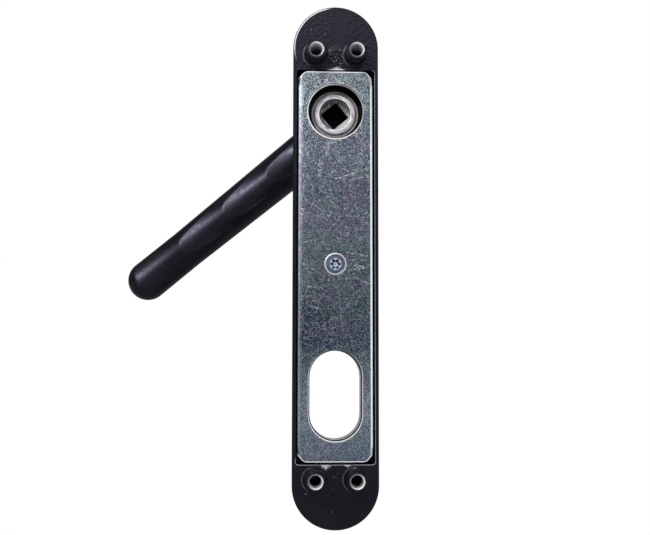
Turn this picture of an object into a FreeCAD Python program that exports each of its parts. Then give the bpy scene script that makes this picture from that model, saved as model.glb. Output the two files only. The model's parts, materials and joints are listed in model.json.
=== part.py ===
import FreeCAD, Part
import math
import os

import Sketcher

# Balcony door handle on a long plate.
# X runs across the plate, Z up along it, and Y from the door side (y = 0) to the lever side.
# The origin is the middle of the four fixing bosses, on the plane of the rim that lies on the door.

Vector = FreeCAD.Vector
Rotation = FreeCAD.Rotation

# Every size that can be set by itself, in millimetres and degrees.
SIZES = {
    # cover plate
    "cover_width": 34.5,
    "cover_length": 210.0,
    "cover_depth": 11.0,
    "cover_draft": 1.0,
    "front_edge_radius": 3.0,
    "rear_edge_chamfer": 0.4,
    "side_wall": 1.5,
    "front_wall": 2.0,
    "pocket_margin": 1.8,
    "pocket_drop": 0.4,
    "pocket_corner": 1.2,
    "rib_width": 2.0,
    "rib_inset": 1.2,
    "ledge_width": 16.0,
    "ledge_reach": 4.0,
    # fixing bosses
    "boss_across": 16.2,
    "boss_along": 170.5,
    "boss_height": 7.45,
    "boss_diameter": 8.6,
    "boss_lip_diameter": 7.6,
    "boss_lip_height": 1.2,
    "boss_foot_chamfer": 0.55,
    "boss_shoulder_chamfer": 0.35,
    "tap_core": 5.0,
    "tap_depth": 14.0,
    "tap_mouth": 6.1,
    "drill_point": 1.25,
    # rear plate
    "plate_side_gap": 0.7,
    "plate_end_gap": 0.75,
    "plate_thickness": 1.5,
    "plate_recess": 0.3,
    "plate_aside": 0.13,
    "plate_drop": 0.2,
    "fold_depth": 5.0,
    "fold_radius": 1.9,
    "clip_across": 2.8,
    "clip_along": 3.0,
    "spindle_hole": 22.3,
    # lock cylinder slot
    "slot_width": 21.45,
    "slot_length": 36.2,
    "slot_inset": 27.15,
    "slot_step": 0.45,
    "slot_wall": 1.5,
    # plate screw
    "screw_head": 8.8,
    "screw_size": 5.0,
    "screw_length": 8.0,
    "screw_land": 0.3,
    "recess_points": 4.5,
    "recess_core": 3.3,
    "recess_lobe": 0.45,
    "recess_depth": 1.7,
    "pillar_diameter": 10.0,
    # spindle drive
    "hub_inset": 16.85,
    "socket_square": 8.1,
    "socket_start": 9.3,
    "socket_end": 22.0,
    "sleeve_bore": 12.6,
    "sleeve_diameter": 15.4,
    "sleeve_flats": 14.2,
    "sleeve_end": 29.0,
    "rim_diameter": 17.0,
    "rim_face": 5.5,
    "rim_thickness": 1.0,
    "rim_chamfer": 0.6,
    "washer_diameter": 19.3,
    "washer_thickness": 1.0,
    "spring_height": 0.95,
    "spring_thickness": 0.4,
    "spring_diameter": 18.6,
    "pin_diameter": 3.5,
    "pin_depth": 25.5,
    "pin_inset": 0.4,
    # stop
    "stop_diameter": 20.5,
    "stop_thickness": 1.2,
    "lug_reach": 13.2,
    "lug_angle": 20.0,
    "swing_half": 45.0,
    "swing_slack": 1.5,
    "stop_wall": 1.6,
    "stop_wall_lead": 0.9,
    # collar and bush
    "neck_diameter": 18.9,
    "bush_wall": 1.0,
    "bush_flange": 23.0,
    "bush_flange_thickness": 0.8,
    "collar_height": 6.0,
    "collar_wall": 2.2,
    "collar_flare": 1.2,
    "slip_thickness": 0.8,
    # lever
    "lever_drop": 39.65,
    "shoulder_diameter": 24.6,
    "shoulder_height": 3.0,
    "shoulder_chamfer": 1.0,
    "grip_depth": 42.7,
    "grip_length": 112.3,
    "elbow_radius": 16.0,
    "root_diameter": 19.25,
    "waist_diameter": 16.85,
    "waist_reach": 82.0,
    "tip_diameter": 17.1,
    "tip_radius": 8.6,
    "ridge_pitch": 23.95,
    "ridge_first": 35.88,
    "ridge_depth": 0.7,
    "scallop_radius": 42.0,
    "near_scallop_radius": 28.0,
    "near_scallop_start": 14.0,
    # fits
    "running_fit": 0.05,
    "seat_fit": 0.05,
    "hub_play": 0.25,
    "spring_play": 0.2,
}

# How far a cut runs past the solid that it opens, and a solid is sunk into the one that it joins.
PAST = " + 1"
# Number of lobes in the screw's recess and of full scallops in the grip, and the four corners.
LOBES = 6
FULL_SCALLOPS = 3
CORNERS = ((-1, 1), (1, 1), (-1, -1), (1, -1))
# Sections of the lever's loft: degrees between those in the elbow, numbers along the grip, and the
# latitudes of those in the domed tip.
ELBOW_STEP = 10
WAIST_STATIONS = 3
TIP_STATIONS = 1
DOME_ANGLES = (0, 25, 48, 68, 84)

# Places that follow from the sizes above, as expressions on the sheet.
POCKET_HALF = "(Sizes.cover_width / 2 - Sizes.side_wall)"
POCKET_REACH = "(Sizes.boss_along / 2 - Sizes.boss_diameter / 2 - Sizes.pocket_margin)"
POCKET_TOP = "(" + POCKET_REACH + " - Sizes.pocket_drop)"
POCKET_BOTTOM = "(-" + POCKET_REACH + " - Sizes.pocket_drop)"
HUB_RISE = "(" + POCKET_TOP + " - Sizes.hub_inset)"
SLOT_HEIGHT = "(" + POCKET_BOTTOM + " + Sizes.slot_inset)"
FLOOR = "(Sizes.cover_depth - Sizes.front_wall)"
COLLAR_FACE = "(Sizes.cover_depth + Sizes.collar_height)"
PLATE_BACK = "(Sizes.plate_recess + Sizes.plate_thickness)"
PLATE_HALF = "(" + POCKET_HALF + " - Sizes.plate_side_gap)"
PLATE_REACH = "(" + POCKET_REACH + " - Sizes.plate_end_gap)"
SLOT_HALF = "(Sizes.slot_width / 2 - Sizes.slot_step)"
SLOT_STRAIGHT = "((Sizes.slot_length - Sizes.slot_width) / 2)"
WASHER_FACE = "(Sizes.rim_face + Sizes.rim_thickness)"
SPRING_FACE = "(Sizes.rim_face + Sizes.rim_thickness + Sizes.washer_thickness + Sizes.seat_fit)"
STOP_FACE = "(" + SPRING_FACE + " + Sizes.spring_height + Sizes.seat_fit)"
FLANGE_FACE = "(" + STOP_FACE + " + Sizes.stop_thickness + Sizes.running_fit)"
HUB_SEAT = "(" + FLANGE_FACE + " + Sizes.bush_flange_thickness)"
STOP_WALL_FACE = "(" + STOP_FACE + " - Sizes.stop_wall_lead)"
NECK_RADIUS = "(Sizes.neck_diameter / 2)"
BUSH_INNER = "(" + NECK_RADIUS + " + Sizes.running_fit)"
BUSH_OUTER = "(" + BUSH_INNER + " + Sizes.bush_wall)"
BUSH_BORE = "(" + BUSH_OUTER + " + Sizes.seat_fit)"
COLLAR_RADIUS = "(" + BUSH_BORE + " + Sizes.collar_wall)"
FLANGE_POCKET = "(Sizes.bush_flange / 2 + Sizes.hub_play)"
LUG_CHANNEL = "(Sizes.lug_reach + Sizes.hub_play)"
SLIP_FACE = "(" + COLLAR_FACE + " + Sizes.running_fit)"
SHOULDER_FACE = "(" + SLIP_FACE + " + Sizes.slip_thickness + Sizes.running_fit)"
SHOULDER_TOP = "(" + SHOULDER_FACE + " + Sizes.shoulder_height)"
DOME_START = "(Sizes.grip_length - Sizes.tip_radius)"
TAPER = "((Sizes.root_diameter - Sizes.waist_diameter) / 2 / (Sizes.waist_reach - Sizes.elbow_radius))"
TILT = "atan(" + TAPER + ")"

doc = FreeCAD.newDocument("balcony_door_handle")
sheet = doc.addObject("Spreadsheet::Sheet", "Sizes")


def fill_sheet():
    """Write every size into the sheet, one row each, with its name as alias."""
    for row, (name, size) in enumerate(SIZES.items(), 1):
        sheet.set("A%d" % row, name)
        sheet.set("B%d" % row, str(size))
        sheet.setAlias("B%d" % row, name)
    doc.recompute()


def worked_out(text):
    """Give the number that an expression on the sheet comes to."""
    return float(sheet.evalExpression(text))


def bind(item, **expressions):
    """Bind properties of an object to expressions; a double underscore stands for a dot."""
    for name, text in expressions.items():
        item.setExpression(name.replace("__", "."), text)


def new_body(label):
    """Start a sub-part whose node is named by its label."""
    body = doc.addObject("PartDesign::Body", label)
    body.Label = label
    return body


def base_plane(body, role):
    """Find one of the body's own origin planes."""
    return next(item for item in body.Origin.OriginFeatures if item.Role == role)


def new_sketch(body, name, role, across="0", up="0", out="0"):
    """Attach a sketch to an origin plane, moved within it by across and up and off it by out."""
    sketch = body.newObject("Sketcher::SketchObject", name)
    sketch.AttachmentSupport = [(base_plane(body, role), "")]
    sketch.MapMode = "FlatFace"
    bind(sketch, AttachmentOffset__Base__x=across, AttachmentOffset__Base__y=up)
    bind(sketch, AttachmentOffset__Base__z=out)
    return sketch


def hold_point(sketch, shape, corner, across, up):
    """Tie one point of a sketch to its two expressions, measured from the sketch's origin."""
    for kind, text in (("DistanceX", across), ("DistanceY", up)):
        place = Sketcher.Constraint(kind, -1, 1, shape, corner, worked_out(text))
        sketch.setExpression("Constraints[%d]" % sketch.addConstraint(place), text)


def draw_polygon(sketch, corners):
    """Draw a closed outline of straight lines through corners given as expressions."""
    points = [Vector(worked_out(across), worked_out(up), 0) for across, up in corners]
    first = sketch.GeometryCount
    count = len(points)
    for number in range(count):
        sketch.addGeometry(Part.LineSegment(points[number], points[(number + 1) % count]))
    for number in range(count):
        following = first + (number + 1) % count
        sketch.addConstraint(Sketcher.Constraint("Coincident", first + number, 2, following, 1))
    for number, (across, up) in enumerate(corners):
        hold_point(sketch, first + number, 1, across, up)


def draw_rectangle(sketch, left, right, bottom, top):
    """Draw an upright rectangle between four expressions."""
    draw_polygon(sketch, [(left, bottom), (right, bottom), (right, top), (left, top)])


def draw_circle(sketch, across, up, radius):
    """Draw a circle whose centre and radius are expressions."""
    centre = Vector(worked_out(across), worked_out(up), 0)
    number = sketch.addGeometry(Part.Circle(centre, Vector(0, 0, 1), worked_out(radius)))
    hold_point(sketch, number, 3, across, up)
    size = Sketcher.Constraint("Radius", number, worked_out(radius))
    sketch.setExpression("Constraints[%d]" % sketch.addConstraint(size), radius)


def draw_stadium(sketch, up, radius, straight):
    """Draw an upright outline of two half circles joined by straight sides, centred at a height."""
    middle, size, half = worked_out(up), worked_out(radius), worked_out(straight)
    upper = Part.Circle(Vector(0, middle + half, 0), Vector(0, 0, 1), size)
    lower = Part.Circle(Vector(0, middle - half, 0), Vector(0, 0, 1), size)
    top = Part.ArcOfCircle(upper, 0, math.pi)
    low = Part.ArcOfCircle(lower, math.pi, 2 * math.pi)
    left = Part.LineSegment(Vector(-size, middle + half, 0), Vector(-size, middle - half, 0))
    right = Part.LineSegment(Vector(size, middle - half, 0), Vector(size, middle + half, 0))
    first = sketch.GeometryCount
    sketch.addGeometry([top, left, low, right])
    for number in range(4):
        following = first + (number + 1) % 4
        sketch.addConstraint(Sketcher.Constraint("Tangent", first + number, 2, following, 1))
    hold_point(sketch, first, 3, "0", up + " + " + straight)
    hold_point(sketch, first + 2, 3, "0", up + " - " + straight)
    for number in (first, first + 2):
        curve = Sketcher.Constraint("Radius", number, size)
        sketch.setExpression("Constraints[%d]" % sketch.addConstraint(curve), radius)


def extrude(body, kind, name, sketch, length, towards_front=True):
    """Pad or pocket a sketch of the XZ plane, along +Y when it points to the front."""
    feature = body.newObject("PartDesign::" + kind, name)
    feature.Profile = sketch
    feature.Reversed = towards_front if kind == "Pad" else not towards_front
    bind(feature, Length=length)
    return feature


def revolve(body, kind, name, sketch):
    """Turn a profile once round the sketch's upright axis."""
    feature = body.newObject("PartDesign::" + kind, name)
    feature.Profile = sketch
    feature.ReferenceAxis = (sketch, ["V_Axis"])
    feature.Angle = 360.0
    return feature


def edges_where(shape, test):
    """List the names of the edges that pass a test."""
    return ["Edge%d" % number for number, edge in enumerate(shape.Edges, 1) if test(edge)]


def soften(body, kind, name, size, test):
    """Fillet or chamfer the edges of the body so far that pass a test."""
    doc.recompute()
    last = body.Tip
    feature = body.newObject("PartDesign::" + kind, name)
    feature.Base = (last, edges_where(last.Shape, test))
    bind(feature, **{"Radius" if kind == "Fillet" else "Size": size})
    return feature


def near(first, second, margin=0.01):
    """Tell whether two numbers are the same but for rounding."""
    return abs(first - second) < margin


def lies_at(edge, height):
    """Tell whether an edge lies wholly in the plane across Y at a height."""
    box = edge.BoundBox
    return near(box.YMin, height) and near(box.YMax, height)


def make_cover_plate():
    """Die-cast cover: drafted shell, collar, pocket, cast walls inside, slot and bosses."""
    body = new_body("cover_plate")
    outline = new_sketch(body, "cover_outline", "XZ_Plane")
    draw_stadium(outline, "0", "Sizes.cover_width / 2", "(Sizes.cover_length - Sizes.cover_width) / 2")
    block = extrude(body, "Pad", "cover_block", outline, "Sizes.cover_depth")
    bind(block, TaperAngle="-Sizes.cover_draft")
    depth = worked_out("Sizes.cover_depth")
    soften(body, "Fillet", "front_edge", "Sizes.front_edge_radius", lambda edge: lies_at(edge, depth))
    soften(body, "Chamfer", "rear_edge", "Sizes.rear_edge_chamfer", lambda edge: lies_at(edge, 0))
    add_collar(body)
    cut_pocket(body)
    add_inner_walls(body)
    cut_hub(body)
    cut_slot_and_screw_hole(body)
    add_bosses(body)
    return body


def add_collar(body):
    """Flared collar on the front that holds the neck bush."""
    profile = new_sketch(body, "collar_profile", "XY_Plane", out=HUB_RISE)
    root = FLOOR
    flare = COLLAR_RADIUS + " + Sizes.collar_flare"
    draw_polygon(profile, [
        ("0", root),
        (flare, root),
        (flare, "Sizes.cover_depth"),
        (COLLAR_RADIUS, COLLAR_FACE),
        ("0", COLLAR_FACE),
    ])
    revolve(body, "Revolution", "collar", profile)


def cut_pocket(body):
    """Pocket for the rear plate, open to the door, with rounded corners."""
    outline = new_sketch(body, "pocket_outline", "XZ_Plane")
    draw_rectangle(outline, "-" + POCKET_HALF, POCKET_HALF, POCKET_BOTTOM, POCKET_TOP)
    extrude(body, "Pocket", "pocket", outline, FLOOR)
    half = worked_out(POCKET_HALF)
    floor = worked_out(FLOOR)

    def is_corner(edge):
        box = edge.BoundBox
        centre = box.Center
        return near(abs(centre.x), half) and near(box.YLength, floor) and box.ZLength < 0.01

    soften(body, "Fillet", "pocket_corners", "Sizes.pocket_corner", is_corner)


def add_inner_walls(body):
    """Walls, pillar, ribs and ledges that stand on the pocket's floor and carry the rear plate."""
    height = FLOOR + " - " + PLATE_BACK
    low = "-" + PLATE_BACK
    slot = new_sketch(body, "slot_wall_outline", "XZ_Plane", out=low)
    draw_stadium(slot, SLOT_HEIGHT, SLOT_HALF + " + Sizes.slot_wall", SLOT_STRAIGHT)
    extrude(body, "Pad", "slot_wall", slot, height)
    pillar = new_sketch(body, "pillar_outline", "XZ_Plane", out=low)
    draw_circle(pillar, "0", "-Sizes.plate_drop", "Sizes.pillar_diameter / 2")
    extrude(body, "Pad", "screw_pillar", pillar, height)
    for name, start, end in (
        ("top_ledge", POCKET_TOP + " - Sizes.ledge_reach", POCKET_TOP + " + Sizes.side_wall"),
        ("bottom_ledge", POCKET_BOTTOM + " - Sizes.side_wall", POCKET_BOTTOM + " + Sizes.ledge_reach"),
    ):
        ledge = new_sketch(body, name + "_outline", "XZ_Plane", out=low)
        draw_rectangle(ledge, "-Sizes.ledge_width / 2", "Sizes.ledge_width / 2", start, end)
        extrude(body, "Pad", name, ledge, height)
    hub = new_sketch(body, "hub_wall_outline", "XZ_Plane", out="-" + STOP_WALL_FACE)
    draw_circle(hub, "0", HUB_RISE, LUG_CHANNEL + " + Sizes.stop_wall")
    extrude(body, "Pad", "hub_wall", hub, FLOOR + " - " + STOP_WALL_FACE)
    rib = new_sketch(body, "rib_outline", "XZ_Plane", out=low + " - Sizes.rib_inset")
    rib_low = SLOT_HEIGHT + " + " + SLOT_STRAIGHT + " + " + SLOT_HALF + " + Sizes.slot_wall / 2"
    rib_high = HUB_RISE + " - " + LUG_CHANNEL + " - Sizes.stop_wall / 2"
    draw_rectangle(rib, "-Sizes.rib_width / 2", "Sizes.rib_width / 2", rib_low, rib_high)
    extrude(body, "Pad", "spine_rib", rib, height + " - Sizes.rib_inset")


def cut_hub(body):
    """Seat for the bush, its bore through the collar, and the channel that stops the lug."""
    profile = new_sketch(body, "hub_profile", "XY_Plane", out=HUB_RISE)
    above = COLLAR_FACE + PAST
    draw_polygon(profile, [
        ("0", "0"),
        (FLANGE_POCKET, "0"),
        (FLANGE_POCKET, HUB_SEAT),
        (BUSH_BORE, HUB_SEAT),
        (BUSH_BORE, above),
        ("0", above),
    ])
    revolve(body, "Groove", "hub_bore", profile)
    channel = body.newObject("PartDesign::SubtractiveCylinder", "lug_channel")
    channel.AttachmentSupport = [(base_plane(body, "XZ_Plane"), "")]
    channel.MapMode = "FlatFace"
    half = "(Sizes.swing_half + Sizes.lug_angle / 2 + Sizes.swing_slack)"
    bind(channel, Radius=LUG_CHANNEL, Angle="2 * " + half)
    bind(channel, Height=FLANGE_FACE + " - " + STOP_WALL_FACE + PAST)
    bind(channel, AttachmentOffset__Base__y=HUB_RISE, AttachmentOffset__Base__z="-" + FLANGE_FACE)
    channel.setExpression("AttachmentOffset.Rotation.Angle", "-" + half)


def cut_slot_and_screw_hole(body):
    """Slot for the lock cylinder through the front, and the hole for the plate screw."""
    slot = new_sketch(body, "slot_outline", "XZ_Plane")
    draw_stadium(slot, SLOT_HEIGHT, SLOT_HALF, SLOT_STRAIGHT)
    extrude(body, "Pocket", "cylinder_slot", slot, "Sizes.cover_depth" + PAST)
    hole = new_sketch(body, "screw_hole_profile", "XY_Plane", out="-Sizes.plate_drop")
    radius = "(Sizes.screw_size / 2 + Sizes.seat_fit)"
    end = "(Sizes.plate_recess + Sizes.screw_length + Sizes.seat_fit)"
    cone = "(Sizes.screw_head / 2 + Sizes.seat_fit + Sizes.screw_land)"
    draw_polygon(hole, [
        ("0", "0"),
        (cone + " + Sizes.plate_recess", "0"),
        (radius, cone + " + Sizes.plate_recess - " + radius),
        (radius, end),
        ("0", end),
    ])
    revolve(body, "Groove", "screw_hole", hole)


def add_bosses(body):
    """Four tapped bosses that stand out towards the door: a stepped turned form and its hole."""
    foot = "Sizes.boss_diameter / 2"
    step = "-Sizes.boss_height + Sizes.boss_lip_height"
    lip = "Sizes.boss_lip_diameter / 2"
    tip = "-Sizes.boss_height"
    core = "Sizes.tap_core / 2"
    mouth = "Sizes.tap_mouth / 2"
    bottom = "Sizes.tap_depth - Sizes.boss_height"
    for number, (side, end) in enumerate(CORNERS, 1):
        across = "%d * Sizes.boss_across / 2" % side
        along = "%d * Sizes.boss_along / 2" % end
        solid = new_sketch(body, "boss_profile_%d" % number, "XY_Plane", across=across, out=along)
        draw_polygon(solid, [
            ("0", "0" + PAST),
            (foot + " + Sizes.boss_foot_chamfer", "0" + PAST),
            (foot + " + Sizes.boss_foot_chamfer", "0"),
            (foot, "-Sizes.boss_foot_chamfer"),
            (foot, step + " + Sizes.boss_shoulder_chamfer"),
            (foot + " - Sizes.boss_shoulder_chamfer", step),
            (lip, step),
            (lip, tip),
            ("0", tip),
        ])
        revolve(body, "Revolution", "boss_%d" % number, solid)
        hole = new_sketch(body, "tap_profile_%d" % number, "XY_Plane", across=across, out=along)
        draw_polygon(hole, [
            ("0", tip + " - 1"),
            (mouth + PAST, tip + " - 1"),
            (core, tip + " + " + mouth + " - " + core),
            (core, bottom),
            ("0", bottom + " + Sizes.drill_point"),
        ])
        revolve(body, "Groove", "tapped_hole_%d" % number, hole)


def make_rear_plate():
    """Sheet-steel channel with folded long edges, clipped corners and its three openings."""
    body = new_body("rear_plate")
    inner = PLATE_HALF + " - Sizes.plate_thickness"
    fold = "Sizes.plate_recess + Sizes.fold_depth"
    section = new_sketch(body, "plate_section", "XY_Plane")
    draw_polygon(section, [
        ("-" + PLATE_HALF, "Sizes.plate_recess"),
        (PLATE_HALF, "Sizes.plate_recess"),
        (PLATE_HALF, fold),
        (inner, fold),
        (inner, PLATE_BACK),
        ("-(" + inner + ")", PLATE_BACK),
        ("-(" + inner + ")", fold),
        ("-" + PLATE_HALF, fold),
    ])
    sheet_metal = body.newObject("PartDesign::Pad", "folded_sheet")
    sheet_metal.Profile = section
    sheet_metal.Midplane = True
    bind(sheet_metal, Length="2 * " + PLATE_REACH)
    face = worked_out("Sizes.plate_recess")
    back = worked_out(PLATE_BACK)

    def is_long(edge, height):
        return lies_at(edge, height) and edge.BoundBox.ZLength > edge.BoundBox.XLength

    soften(body, "Fillet", "outer_bend", "Sizes.fold_radius", lambda edge: is_long(edge, face))
    inner_radius = "Sizes.fold_radius - Sizes.plate_thickness"
    soften(body, "Fillet", "inner_bend", inner_radius, lambda edge: is_long(edge, back))
    clips = new_sketch(body, "corner_clips", "XZ_Plane")
    for side, end in CORNERS:
        inner_side = "%d * (%s - Sizes.clip_across)" % (side, PLATE_HALF)
        edge = "%d * %s" % (side, PLATE_HALF)
        outside = "%d * (%s%s)" % (side, PLATE_HALF, PAST)
        clip_start = "%d * (%s - Sizes.clip_along)" % (end, PLATE_REACH)
        corner = "%d * %s" % (end, PLATE_REACH)
        beyond = "%d * (%s%s)" % (end, PLATE_REACH, PAST)
        draw_polygon(clips, [
            (inner_side, corner),
            (edge, clip_start),
            (outside, clip_start),
            (outside, beyond),
            (inner_side, beyond),
        ])
    extrude(body, "Pocket", "clipped_corners", clips, "Sizes.cover_depth")
    aside, lift = "Sizes.plate_aside", "Sizes.plate_drop"
    openings = new_sketch(body, "plate_openings", "XZ_Plane", across=aside, up=lift)
    draw_circle(openings, "0", HUB_RISE, "Sizes.spindle_hole / 2")
    draw_stadium(openings, SLOT_HEIGHT, "Sizes.slot_width / 2", SLOT_STRAIGHT)
    extrude(body, "Pocket", "spindle_hole_and_slot", openings, "Sizes.cover_depth")
    sink = new_sketch(body, "countersink_profile", "XY_Plane", across=aside)
    wide = "(Sizes.screw_head / 2 + Sizes.seat_fit + Sizes.plate_recess + Sizes.screw_land)"
    draw_polygon(sink, [
        ("0", "0"),
        (wide, "0"),
        (wide + " - " + PLATE_BACK + " - 1", PLATE_BACK + PAST),
        ("0", PLATE_BACK + PAST),
    ])
    revolve(body, "Groove", "countersink", sink)
    bind(body, Placement__Base__x="-Sizes.plate_aside", Placement__Base__z="-Sizes.plate_drop")
    return body


def make_plate_screw():
    """Countersunk screw with a six-lobe recess."""
    body = new_body("plate_screw")
    face = "Sizes.plate_recess"
    land = "Sizes.plate_recess + Sizes.screw_land"
    head = "Sizes.screw_head / 2"
    shank = "Sizes.screw_size / 2"
    profile = new_sketch(body, "screw_profile", "XY_Plane")
    draw_polygon(profile, [
        ("0", face),
        (head, face),
        (head, land),
        (shank, land + " + " + head + " - " + shank),
        (shank, face + " + Sizes.screw_length"),
        ("0", face + " + Sizes.screw_length"),
    ])
    revolve(body, "Revolution", "screw_blank", profile)
    core = new_sketch(body, "recess_core", "XZ_Plane")
    draw_circle(core, "0", "0", "Sizes.recess_core / 2")
    extrude(body, "Pocket", "recess", core, face + " + Sizes.recess_depth")
    lobe = new_sketch(body, "recess_lobe", "XZ_Plane")
    draw_circle(lobe, "Sizes.recess_points / 2 - Sizes.recess_lobe", "0", "Sizes.recess_lobe")
    cut = extrude(body, "Pocket", "first_lobe", lobe, face + " + Sizes.recess_depth")
    around = body.newObject("PartDesign::PolarPattern", "lobes")
    around.Originals = [cut]
    around.Axis = (lobe, ["N_Axis"])
    around.Angle = 360.0
    around.Occurrences = LOBES
    body.Tip = around
    bind(body, Placement__Base__z="-Sizes.plate_drop")
    return body


def make_neck_bush():
    """Flanged plastic bush, pressed into the collar from the door side."""
    body = new_body("neck_bush")
    profile = new_sketch(body, "bush_profile", "XY_Plane")
    draw_polygon(profile, [
        (BUSH_INNER, FLANGE_FACE),
        ("Sizes.bush_flange / 2", FLANGE_FACE),
        ("Sizes.bush_flange / 2", HUB_SEAT),
        (BUSH_OUTER, HUB_SEAT),
        (BUSH_OUTER, COLLAR_FACE),
        (BUSH_INNER, COLLAR_FACE),
    ])
    revolve(body, "Revolution", "bush", profile)
    bind(body, Placement__Base__z=HUB_RISE)
    return body


def along_y(item, start):
    """Turn a primitive whose axis is its own Z to point along Y, starting at a height."""
    item.Placement.Rotation = Rotation(Vector(1, 0, 0), -90)
    bind(item, Placement__Base__y=start)
    return item


def new_disc(name, radius, start, length):
    """Make a round bar along Y between two heights."""
    disc = doc.addObject("Part::Cylinder", name)
    bind(disc, Radius=radius, Height=length)
    return along_y(disc, start)


def new_double_flat(name, clearance, start, length):
    """Make a bar along Y with the sleeve's section: round with two flats, and a clearance all round."""
    bar = new_disc(name + "_round", "Sizes.sleeve_diameter / 2 + " + clearance, start, length)
    block = doc.addObject("Part::Box", name + "_block")
    bind(block, Length="Sizes.sleeve_diameter * 2", Width=length)
    bind(block, Height="Sizes.sleeve_flats + 2 * " + clearance)
    bind(block, Placement__Base__x="-Sizes.sleeve_diameter", Placement__Base__y=start)
    bind(block, Placement__Base__z="-Sizes.sleeve_flats / 2 - " + clearance)
    return new_boolean("Common", name, bar, block)


def new_boolean(kind, label, base, tool):
    """Take one shape from another (Cut), or keep what the two share (Common)."""
    result = doc.addObject("Part::" + kind, label)
    result.Label = label
    result.Base = base
    result.Tool = tool
    return result


def new_fuse(label, shapes):
    """Join shapes into one."""
    fuse = doc.addObject("Part::MultiFuse", label)
    fuse.Label = label
    fuse.Shapes = shapes
    return fuse


def place_on_hub(item):
    """Set a piece that turns with the lever on the spindle's axis, at the lever's angle."""
    item.Placement = FreeCAD.Placement(Vector(0, 0, 0), Rotation(Vector(0, 1, 0), 180))
    bind(item, Placement__Base__z=HUB_RISE, Placement__Rotation__Angle="180 - Sizes.lever_drop")
    return item


def make_thrust_washer():
    """Slip ring between the collar and the lever's shoulder."""
    ring = new_disc("slip_disc", "Sizes.shoulder_diameter / 2", SLIP_FACE, "Sizes.slip_thickness")
    hole = new_disc("slip_hole", BUSH_INNER + " + Sizes.seat_fit", SLIP_FACE, "Sizes.slip_thickness")
    washer = new_boolean("Cut", "thrust_washer", ring, hole)
    bind(washer, Placement__Base__z=HUB_RISE)
    return washer


def make_retaining_washer():
    """Flat washer under the sleeve's rim, keyed on the flats."""
    ring = new_disc("retaining_disc", "Sizes.washer_diameter / 2", WASHER_FACE, "Sizes.washer_thickness")
    hole = new_double_flat("retaining_hole", "Sizes.seat_fit", WASHER_FACE, "Sizes.washer_thickness")
    return place_on_hub(new_boolean("Cut", "retaining_washer", ring, hole))


def make_spring_washer():
    """Curved spring washer: a ring cut from a thin cylinder wall that lies across it."""
    rise = "(Sizes.spring_height - Sizes.spring_thickness)"
    radius = "((Sizes.spring_diameter / 2)^2 / (2 * " + rise + "))"
    outer = doc.addObject("Part::Cylinder", "spring_outside")
    inner = doc.addObject("Part::Cylinder", "spring_inside")
    for cylinder, size in ((outer, radius + " + Sizes.spring_thickness"), (inner, radius)):
        bind(cylinder, Radius=size, Height="2 * Sizes.spring_diameter")
        bind(cylinder, Placement__Base__z="-Sizes.spring_diameter")
        bind(cylinder, Placement__Base__y=SPRING_FACE + " + Sizes.spring_thickness + " + radius)
    wall = new_boolean("Cut", "spring_wall", outer, inner)
    ring = new_disc("spring_disc", "Sizes.spring_diameter / 2", SPRING_FACE, "Sizes.spring_height")
    bore = "Sizes.sleeve_diameter / 2 + Sizes.spring_play"
    hole = new_disc("spring_hole", bore, SPRING_FACE, "Sizes.spring_height")
    blank = new_boolean("Cut", "spring_ring", ring, hole)
    return place_on_hub(new_boolean("Common", "spring_washer", wall, blank))


def make_stop_ring():
    """Ring keyed on the sleeve's flats, with one lug that runs in the cover's channel."""
    ring = new_disc("stop_disc", "Sizes.stop_diameter / 2", STOP_FACE, "Sizes.stop_thickness")
    lug = new_disc("stop_lug", "Sizes.lug_reach", STOP_FACE, "Sizes.stop_thickness")
    bind(lug, Angle="Sizes.lug_angle")
    turn = Rotation(Vector(0, 1, 0), worked_out("180 - Sizes.lug_angle / 2"))
    lug.Placement.Rotation = turn.multiply(lug.Placement.Rotation)
    hole = new_double_flat("stop_hole", "Sizes.seat_fit", STOP_FACE, "Sizes.stop_thickness")
    return place_on_hub(new_boolean("Cut", "stop_ring", new_fuse("stop_blank", [ring, lug]), hole))


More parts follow.
